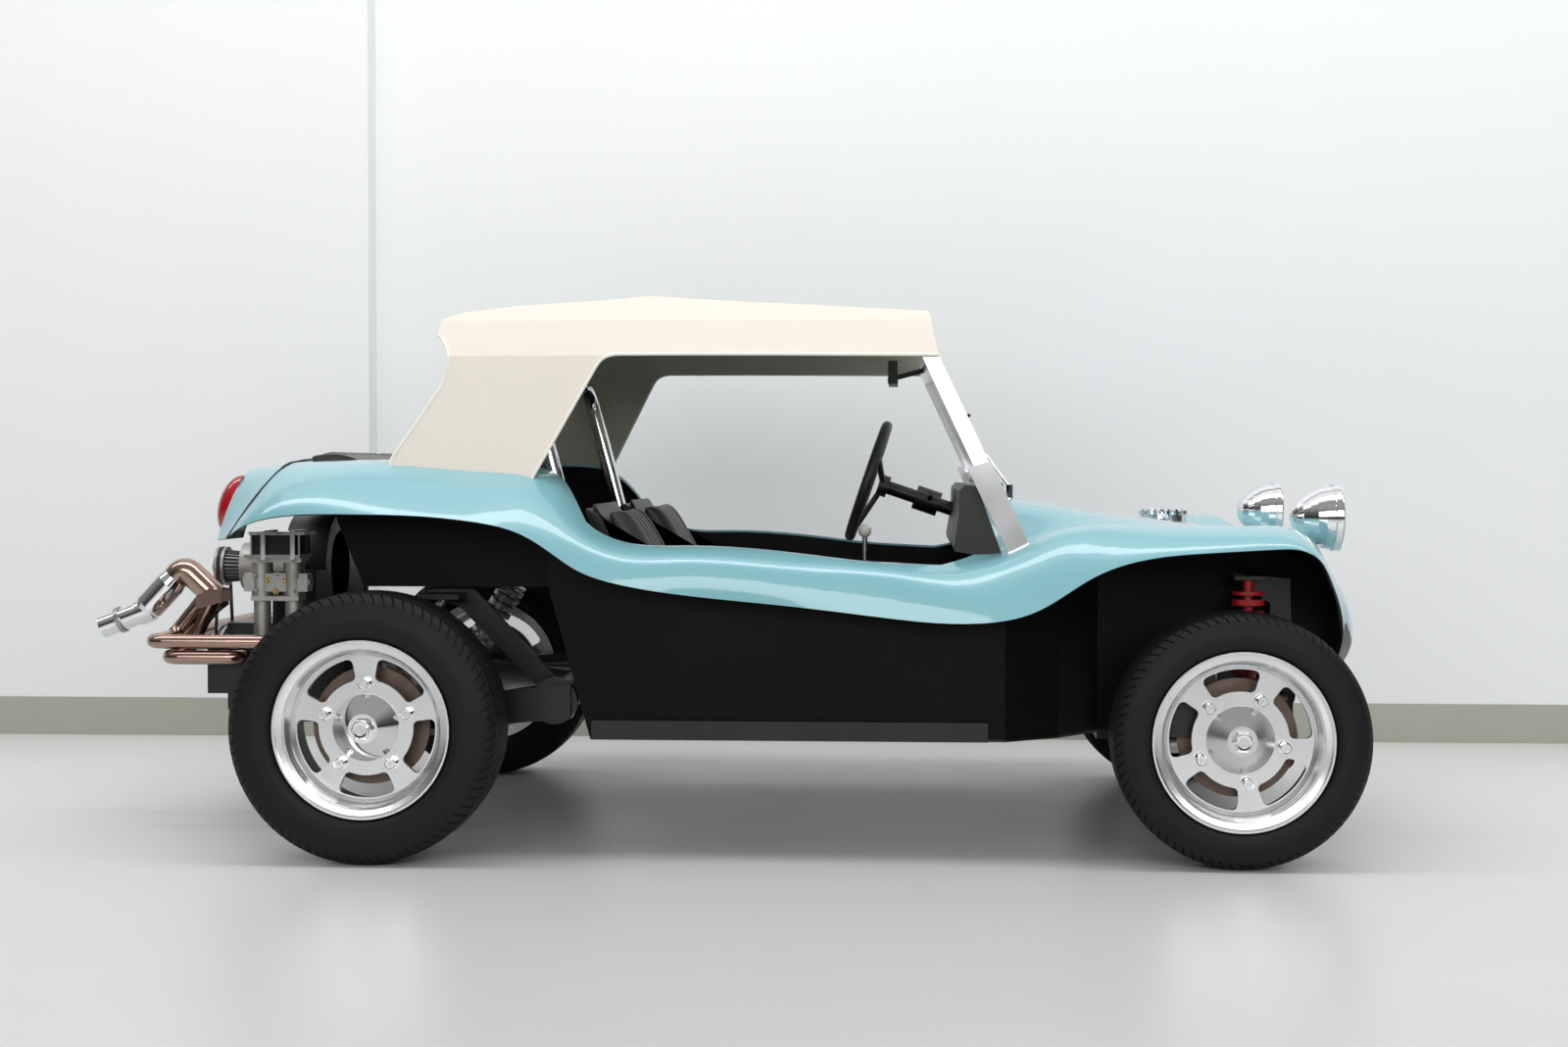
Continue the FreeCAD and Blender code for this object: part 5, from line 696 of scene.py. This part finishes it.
# Tail panel: upper edge in shares of half width and deck, share along the car, and lean.
TAIL_EDGE = np.array([(0, 1.006), (0.34, 1.005), (0.54, 1.002), (0.66, 0.997), (0.775, 0.982),
                      (0.858, 0.908), (0.875, 0.804)])
TAIL_SHARE, TAIL_LEAN = -0.112, 0.312
# Sill bolts: places along and height, radius, and where the lines that find the sill start.
SILL_BOLTS, SILL_HEIGHT, SILL_BOLT_RADIUS, BEYOND_BODY = np.linspace(-0.215, 0.645, 10), 0.300, 0.0055, 1.2


class BUGGY_OT_body_trim(bpy.types.Operator):
    """Lays the black strip in the tail seam and fits the bolts of the sills"""
    bl_idname = "buggy.body_trim"
    bl_label = "Body trim"

    def execute(self, context):
        row = np.concatenate([TAIL_EDGE[:0:-1] * (-1, 1), TAIL_EDGE])
        place_x = along(TAIL_SHARE + (row[:, 1] - TAIL_EDGE[0, 1]) * TAIL_LEAN)
        path = np.stack([place_x, row[:, 0] * HALF, row[:, 1] * DECK], -1)
        strip = tube(smooth_path(path, 160), context.scene.buggy_trim.seam_radius, 8, reference=(1, 0, 0))
        build("tail_seam_strip", [strip], "seal")
        heads = []
        for side in SIDES:
            for x in SILL_BOLTS:
                spot, normal = surface_hit("tub", (x, side * BEYOND_BODY, SILL_HEIGHT), (0, -side, 0))
                heads.append(bolt_head(spot, normal, SILL_BOLT_RADIUS))
        build("sill_bolts", heads, "chrome", sharp=50)
        return {"FINISHED"}


# Front seats: distance from the middle plane, half width, and outline in shares of wheelbase and deck.
SEAT_MIDDLE, SEAT_HALF, SEAT_BOLSTER = 0.345, 0.198, 0.22
SEAT_OUTLINE = np.array([(0.303, 0.3035), (0.292, 0.60), (0.239, 0.852), (0.244, 0.870), (0.254, 0.866),
                         (0.316, 0.595), (0.338, 0.478), (0.498, 0.520), (0.516, 0.50), (0.512, 0.3035)])
# Pads of a front seat: place along and up, half width, half length, and the way that the pad faces.
SEAT_PADS = {"cushion": (0.0990, 0.4835, 0.186, (0.142, 0, 0.0205), (-0.138, 0, 0.990)),
             "back": (-0.1585, 0.6900, 0.184, (-0.0690, 0, 0.1250), (0.871, 0, 0.491))}
# Rear bench: outline, inset of its sides, and the pads' distance from the middle plane and half width.
BENCH_OUTLINE = np.array([(-0.026, 0.6853), (0.166, 0.6853), (0.168, 0.735), (0.015, 0.748),
                          (-0.032, 0.968), (-0.056, 1.012), (-0.092, 1.016), (-0.100, 1.004),
                          (-0.066, 0.985), (-0.052, 0.86)])
BENCH_INSET, BENCH_MIDDLE, BENCH_PAD_HALF, BENCH_BOLSTER = 0.002, 0.253, 0.248, 0.1
BENCH_BACK_RISE = (0.026, 0, 0.027)


class BUGGY_OT_seats(bpy.types.Operator):
    """Upholsters the front seats and the rear bench with padded, pleated covers"""
    bl_idname = "buggy.seats"
    bl_label = "Seats"

    def execute(self, context):
        rise = context.scene.buggy_trim.pad_height
        for side, name in SIDE_NAMES:
            middle = side * SEAT_MIDDLE
            shell = shell_between(SEAT_OUTLINE, middle - SEAT_HALF, middle + SEAT_HALF)
            made = build(f"seat_shell_{name}", [shell], "vinyl", sharp=40)
            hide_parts(f"seat_{name}")
            for part, (x, z, half, length, facing) in SEAT_PADS.items():
                grids = pad((x, middle, z), (0, half, 0), length, np.array(facing) * rise, SEAT_BOLSTER)
                build(f"seat_{part}_{name}", grids, "vinyl", sharp=80)
        rear_bench(rise)
        return {"FINISHED"}


def shell_between(shares, low, high, edge=0.012):
    """Outline in shares of wheelbase and deck, carried across between two sides. Near each side the
    outline draws in towards its own middle line, which closes it: P + k (M - P), where M is halfway
    between a point and the one opposite it on the outline."""
    line = np.stack([along(shares[:, 0]), shares[:, 1] * DECK], -1)
    line = smooth_path(np.concatenate([line, line[:1]]), 120)[:-1]
    middle = (line + line[::-1]) / 2
    rows = [(low, 1), (low, 0.08), (low + edge * 0.3, 0.02), (low + edge, 0), (high - edge, 0),
            (high - edge * 0.3, 0.02), (high, 0.08), (high, 1)]
    grid = np.stack([np.stack([p[:, 0], np.full(len(p), y), p[:, 1]], -1)
                     for y, k in rows for p in [line + k * (middle - line)]])
    return grid, False, True


def rear_bench(rise):
    """Rear seat: a boxed base and back, with a pleated cushion and back rest on each side."""
    low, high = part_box("rear_seat")
    shell = shell_between(BENCH_OUTLINE, low[1] + BENCH_INSET, high[1] - BENCH_INSET)
    made = build("rear_seat_base", [shell], "vinyl", sharp=40)
    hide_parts("rear_seat")
    wide = (0, BENCH_PAD_HALF, 0)
    for side, name in SIDE_NAMES:
        middle = side * BENCH_MIDDLE
        cushion = pad((-0.575, middle, 0.712), wide, (0.148, 0, -0.008), (0, 0, rise), BENCH_BOLSTER)
        back = pad((-0.845, middle, 0.850), wide, (-0.110, 0, 0.105), BENCH_BACK_RISE, BENCH_BOLSTER)
        for part, grids in (("cushion", cushion), ("back", back)):
            build(f"rear_seat_{part}_{name}", grids, "vinyl", sharp=80)


# Headlamps: place of each, and the lens as places forward of it and radii.
LAMP_X, LAMP_Y, LAMP_Z = 1.425, 0.430, 0.804
LENS = np.array([(0.1165, 0), (0.1165, 0.0755), (0.1182, 0.0755), (0.1205, 0.066), (0.1222, 0.056),
                 (0.1238, 0.046), (0.1250, 0.034), (0.1262, 0.020), (0.1267, 0.008), (0.1268, 0)])
# The lens is fluted forward of this place. Then the seam rings: place forward, radius, and the wire's.
FLUTES_FROM, FLUTE_DEPTH, FLUTE_PITCH = 0.1185, 0.0006, 0.011
LAMP_RINGS, RING_WIRE = ((0.0985, 0.0808), (0.1150, 0.0805)), 0.0014


class BUGGY_OT_lamps(bpy.types.Operator):
    """Fits the fluted lenses and the seam rings of the headlamps"""
    bl_idname = "buggy.lamps"
    bl_label = "Lamps"

    def execute(self, context):
        fine = np.concatenate([LENS[:2], smooth_path(LENS[2:], 34)])
        t = np.linspace(0, 2 * np.pi, 96, endpoint=False)
        rings = []
        for side, name in SIDE_NAMES:
            centre_y = side * LAMP_Y
            grid, ring, closed = turned(fine, (LAMP_X, centre_y, LAMP_Z), (1, 0, 0), 144)
            front = (grid[..., 0] > LAMP_X + FLUTES_FROM)[..., None]
            flute = FLUTE_DEPTH * np.cos(2 * np.pi * (grid[..., 1:2] - centre_y) / FLUTE_PITCH)
            grid = grid + front * flute * np.array([1.0, 0, 0])
            build(f"headlamp_lens_{name}", [(grid, ring, closed)], "lamp_glass", sharp=60)
            for place, reach in LAMP_RINGS:
                path = np.stack([np.full(len(t), LAMP_X + place), centre_y + reach * np.cos(t),
                                 LAMP_Z + reach * np.sin(t)], -1)
                rings.append(tube(path, RING_WIRE, 8, reference=(1, 0, 0), ring=True))
        build("headlamp_rings", rings, "chrome")
        return {"FINISHED"}


# Air filters: distance from the middle plane, the pleats' place along, half sizes, foot and head.
FILTER_Y, PLEATS_X, PLEATS_HALF, PLEATS_LOW, PLEATS_HIGH = 0.335, -1.1033, (0.0645, 0.0482), 0.7052, 0.7545
PLEATS, PLEAT_DEPTH, PLEATS_SQUARE = 96, 0.011, 14
# Straps: places along and half width; then two legs and a top: place and half size across, foot, head.
STRAPS_X, STRAP_HALF = (-1.132, -1.056), 0.0060
STRAP_PARTS = ((0.0556, 0.0014, 0.693, 0.7655), (-0.0556, 0.0014, 0.693, 0.7655),
               (0, 0.0570, 0.7632, 0.7660))
# Places along and up of the small fittings that show on each bank's carburettor, with finish and radius.
FITTINGS = {
    "carburettor_bolts": ("steel", 0.0050, (
        (-1.160, 0.650), (-1.105, 0.652), (-1.055, 0.650), (-1.160, 0.612), (-1.060, 0.612),
        (-1.150, 0.690), (-1.060, 0.690))),
    "carburettor_jets": ("brass", 0.0058, ((-1.132, 0.638), (-1.085, 0.638), (-1.109, 0.612))),
}
BEYOND_ENGINE = 0.7
# Blower's cone as places along the car and radii, its height, and its ribs.
BLOWER = ((-1.3452, 0), (-1.3452, 0.0420), (-1.2990, 0.0378), (-1.2990, 0))
BLOWER_CENTRE, BLOWER_RIBS, RIB_DEPTH = (0, 0, 0.6584), 24, 0.05
# Exhaust clamp as places along the tip and radii, and the tip's place and axis.
CLAMP = ((-0.006, 0.0300), (-0.006, 0.0345), (0.006, 0.0345), (0.006, 0.0300))
TIP, TIP_AXIS = (-1.5603, -0.224, 0.5273), (-0.935715, 0, -0.352765)


class BUGGY_OT_engine(bpy.types.Operator):
    """Fits the pleated filters, their straps, the carburettor fittings, the blower cone and the clamp"""
    bl_idname = "buggy.engine"
    bl_label = "Engine trim"

    def execute(self, context):
        pleats, straps = [], []
        rows = [(PLEATS_LOW, 0), (PLEATS_LOW, 1), (PLEATS_HIGH, 1), (PLEATS_HIGH, 0)]
        for side in SIDES:
            middle = side * FILTER_Y
            pleats.append(slab((PLEATS_X, middle, 0), *PLEATS_HALF, rows, power=PLEATS_SQUARE,
                               ripple=PLEAT_DEPTH, ripples=PLEATS, columns=6 * PLEATS))
            for x in STRAPS_X:
                for y, half, low, high in STRAP_PARTS:
                    straps.append(slab((x, middle + y, 0), STRAP_HALF, half, plate_rows(low, high),
                                       columns=32))
        build("filter_pleats", pleats, "seal", sharp=20)
        build("filter_straps", straps, "alloy")
        for name, (key, radius, spots) in FITTINGS.items():
            heads = []
            for side in SIDES:
                for x, z in spots:
                    spot, normal = surface_hit("carburettors", (x, side * BEYOND_ENGINE, z), (0, -side, 0))
                    heads.append(bolt_head(spot, normal, radius))
            build(name, heads, key, sharp=50)
        cone = turned(BLOWER, BLOWER_CENTRE, (1, 0, 0), 144, wave=RIB_DEPTH, teeth=BLOWER_RIBS)
        build("blower_ribs", [cone], "plastic", sharp=20)
        build("exhaust_clamp", [turned(CLAMP, TIP, TIP_AXIS, 64, ring=True)], "steel")
        return {"FINISHED"}


KNOB_RADIUS, KNOB_PLACE = 0.0178, (0.380, 0, 0.7575)
# Fuel cap's grip as places up from the cap and radii, a place above it, and its ribs.
GRIP = ((-0.016, 0), (-0.016, 0.0590), (-0.013, 0.0625), (-0.004, 0.0625), (0.0008, 0.0580),
        (0.0020, 0.0400), (0.0035, 0.0380), (0.0040, 0.0200), (0.0042, 0))
ABOVE_CAP, GRIP_RIBS, GRIP_DEPTH = (1.1868, 0.152, 1.0), 18, 0.035
# Mirror glass: half sizes across and up, rows from front to back, and place.
MIRROR_HALF, MIRROR_PLACE = (0.098, 0.0265), (0.4425, 0, 1.1745)
MIRROR_ROWS = ((-0.0012, 0), (-0.0012, 0.99), (0.001, 1), (0.001, 0))
# Screen's frame: heights and half widths of its foot and top, the top's place along, and its lean.
SCREEN_HEIGHTS, SCREEN_HALVES, SCREEN_TOP_X, SCREEN_LEAN = (0.8836, 1.1954), (0.588, 0.560), 0.568, 0.469
# Screen's seal: heights, how far back and in from the frame it lies, radius, and the screen's face.
SEAL_HEIGHTS, SEAL_BACK, SEAL_INSET, SEAL_RADIUS = np.array([0.912, 1.166]), 0.016, 0.031, 0.005
SCREEN_FACE = (0.905, 0, 0.425)


class BUGGY_OT_controls(bpy.types.Operator):
    """Fits the gear knob, the fuel cap's grip, the mirror glass and the screen's seal"""
    bl_idname = "buggy.controls"
    bl_label = "Controls"

    def execute(self, context):
        t = np.linspace(0, np.pi, 24)
        ball = np.stack([-KNOB_RADIUS * np.cos(t), KNOB_RADIUS * np.sin(t)], -1)
        build("gear_knob", [turned(ball, KNOB_PLACE, (0, 0, 1), 32)], "piping")
        spot, normal = surface_hit("fuel_cap", ABOVE_CAP, (0, 0, -1))
        grip = turned(GRIP, spot, normal, 216, wave=GRIP_DEPTH, teeth=GRIP_RIBS)
        build("fuel_cap_grip", [grip], "chrome", sharp=25)
        glass = slab((0, 0, 0), *MIRROR_HALF, MIRROR_ROWS, power=5)
        build("mirror_glass", [(glass[0][..., [2, 0, 1]] + MIRROR_PLACE, False, True)], "chrome")
        back = SCREEN_TOP_X + (SCREEN_HEIGHTS[1] - SEAL_HEIGHTS) * SCREEN_LEAN - SEAL_BACK
        wide = np.interp(SEAL_HEIGHTS, SCREEN_HEIGHTS, SCREEN_HALVES) - SEAL_INSET
        corners = [(back[end], side * wide[end], SEAL_HEIGHTS[end])
                   for end, side in ((0, -1), (1, -1), (1, 1), (0, 1))]
        path = np.concatenate([np.linspace(a, b, 12, endpoint=False)
                               for a, b in zip(corners, corners[1:] + corners[:1])])
        seal = tube(path, SEAL_RADIUS, 8, reference=SCREEN_FACE, ring=True)
        build("screen_seal", [seal], "seal", sharp=60)
        return {"FINISHED"}


# Studio: reach of the sheets, the wall's two planes and the step between them, and heights.
REACH, WALL_NEAR, WALL_FAR, STEP_START, STEP_END = 30, 1.57, 1.63, -1.357, -1.357 + 0.012
SKIRTING, WALL_HEIGHT, SKIRTING_THICK = 0.13, 12, 0.012
LOOKS = {
    "Studio_floor": dict(colour=(0.74, 0.75, 0.74), other=(0.68, 0.69, 0.68), roughness=0.34, spread=0.2,
                         patch=0.9, grain=30.0, bump=0.05),
    "Studio_wall": dict(colour=(0.88, 0.89, 0.90), roughness=0.8, patch=0.5, grain=14.0, bump=0.15,
                        bump_size=0.003),
    "Studio_skirting": dict(colour=(0.44, 0.44, 0.38), other=(0.36, 0.36, 0.31), roughness=0.5, patch=2.5,
                            grain=60.0, bump=0.2),
}
# Soft lights: name, place, size, power in watts and the place that each points at.
LIGHTS = (("Ceiling light", (0.2, -0.6, 4.6), (8.0, 3.0), 50.0, (0.2, -0.2, 0.0)),
          ("Wall light", (0.0, -1.2, 4.8), (14.0, 1.0), 200.0, (0.0, 1.63, 1.6)),
          ("Front light", (0.6, -7.0, 2.6), (9.0, 2.4), 235.0, (0.0, 0.0, 0.5)))
# World: brightness at shares of the way from straight down to straight up, at both ends, and in all.
WORLD_STOPS, WORLD_ENDS, WORLD_POWER = ((0.52, 0.10), (0.64, 0.30), (0.80, 0.95)), (0.25, 1), 0.36
BACKDROP = (2.1, 2.13, 2.16, 1)


def clear_back(material):
    """Makes the back of a wall clear, so that the car shows from behind it."""
    tree = material.node_tree
    side = add(tree, "ShaderNodeNewGeometry")
    clear = add(tree, "ShaderNodeBsdfTransparent")
    mix = add(tree, "ShaderNodeMixShader")
    tree.links.new(side.outputs["Backfacing"], mix.inputs["Fac"])
    tree.links.new(tree.nodes["Principled BSDF"].outputs[0], mix.inputs[1])
    tree.links.new(clear.outputs[0], mix.inputs[2])
    tree.links.new(mix.outputs[0], tree.nodes["Material Output"].inputs["Surface"])


def studio_world():
    """World that is brightest from above. What the camera sees of it is the pale backdrop."""
    world = bpy.data.worlds.new("Studio")
    world.use_nodes = True
    tree = world.node_tree
    place = add(tree, "ShaderNodeTexCoord")
    split = add(tree, "ShaderNodeSeparateXYZ")
    ramp = add(tree, "ShaderNodeValToRGB")
    for spot, shade in WORLD_STOPS:
        stop = ramp.color_ramp.elements.new(spot)
        stop.color = (shade, shade * 1.01, shade * 1.02, 1)
    for end, shade in zip((0, -1), WORLD_ENDS):
        ramp.color_ramp.elements[end].color = (shade, shade, shade, 1)
    height = calc(tree, "MULTIPLY_ADD", split.outputs["Z"], 0.5, 0.5)
    tree.links.new(place.outputs["Generated"], split.inputs[0])
    tree.links.new(height, ramp.inputs["Fac"])
    rays = add(tree, "ShaderNodeLightPath")
    seen = add(tree, "ShaderNodeMix", data_type="RGBA", values={"B": BACKDROP})
    tree.links.new(rays.outputs["Is Camera Ray"], seen.inputs["Factor"])
    tree.links.new(ramp.outputs["Color"], seen.inputs["A"])
    tree.links.new(seen.outputs["Result"], tree.nodes["Background"].inputs["Color"])
    tree.nodes["Background"].inputs["Strength"].default_value = WORLD_POWER
    return world


class BUGGY_OT_stage(bpy.types.Operator):
    """Builds the pale floor and wall and the soft lights"""
    bl_idname = "buggy.stage"
    bl_label = "Studio"

    def execute(self, context):
        run = [(-REACH, WALL_NEAR), (STEP_START, WALL_NEAR), (STEP_END, WALL_FAR), (REACH, WALL_FAR)]
        sheets = {
            "Studio_floor": [(x, y, 0) for y in (-REACH, REACH) for x in (-REACH, REACH)],
            "Studio_wall": [(x, y, z) for z in (SKIRTING, WALL_HEIGHT) for x, y in run],
            "Studio_skirting": [(x, y - SKIRTING_THICK, z) for z in (0, SKIRTING) for x, y in run],
        }
        for name, corners in sheets.items():
            mesh = bpy.data.meshes.new(name)
            count = len(corners) // 2
            mesh.from_pydata(corners, [], [(i, i + 1, count + i + 1, count + i) for i in range(count - 1)])
            made = bpy.data.objects.new(name, mesh)
            context.scene.collection.objects.link(made)
            mesh.materials.append(finish(name.replace("_", " "), **LOOKS[name]))
            if name != "Studio_floor":
                clear_back(mesh.materials[0])
        context.scene.view_settings.view_transform = "Standard"
        context.scene.world = studio_world()
        for name, place, size, power, aim in LIGHTS:
            data = bpy.data.lights.new(name, "AREA")
            data.shape = "RECTANGLE"
            data.size, data.size_y = size
            data.energy = power
            lamp = bpy.data.objects.new(name, data)
            context.scene.collection.objects.link(lamp)
            lamp.location = place
            lamp.rotation_euler = (Vector(aim) - Vector(place)).to_track_quat("-Z", "Y").to_euler()
        return {"FINISHED"}


class BUGGY_PT_panel(bpy.types.Panel):
    """Lists the steps that dress the car"""
    bl_idname = "BUGGY_PT_panel"
    bl_label = "Dune buggy"
    bl_space_type = "VIEW_3D"
    bl_region_type = "UI"
    bl_category = "Buggy"

    def draw(self, context):
        for step in STEPS:
            self.layout.operator(step.bl_idname)


STEPS = (BUGGY_OT_camera, BUGGY_OT_finishes, BUGGY_OT_tyres, BUGGY_OT_wheel_trim, BUGGY_OT_top_trim,
         BUGGY_OT_body_trim, BUGGY_OT_seats, BUGGY_OT_lamps, BUGGY_OT_engine, BUGGY_OT_controls,
         BUGGY_OT_stage)
SETTINGS = {"buggy_colours": BuggyColours, "buggy_tread": BuggyTread, "buggy_trim": BuggyTrim,
            "buggy_camera": BuggyCamera}
CLASSES = (*SETTINGS.values(), *STEPS, BUGGY_PT_panel)


def register():
    for kind in CLASSES:
        bpy.utils.register_class(kind)
    for name, kind in SETTINGS.items():
        setattr(bpy.types.Scene, name, bpy.props.PointerProperty(type=kind))


def unregister():
    for name in SETTINGS:
        delattr(bpy.types.Scene, name)
    for kind in reversed(CLASSES):
        bpy.utils.unregister_class(kind)


def main():
    register()
    bpy.ops.buggy.camera()
    bpy.ops.buggy.finishes()
    bpy.ops.buggy.tyres()
    bpy.ops.buggy.wheel_trim()
    bpy.ops.buggy.top_trim()
    bpy.ops.buggy.body_trim()
    bpy.ops.buggy.seats()
    bpy.ops.buggy.lamps()
    bpy.ops.buggy.engine()
    bpy.ops.buggy.controls()
    bpy.ops.buggy.stage()


if __name__ == "__main__":
    main()
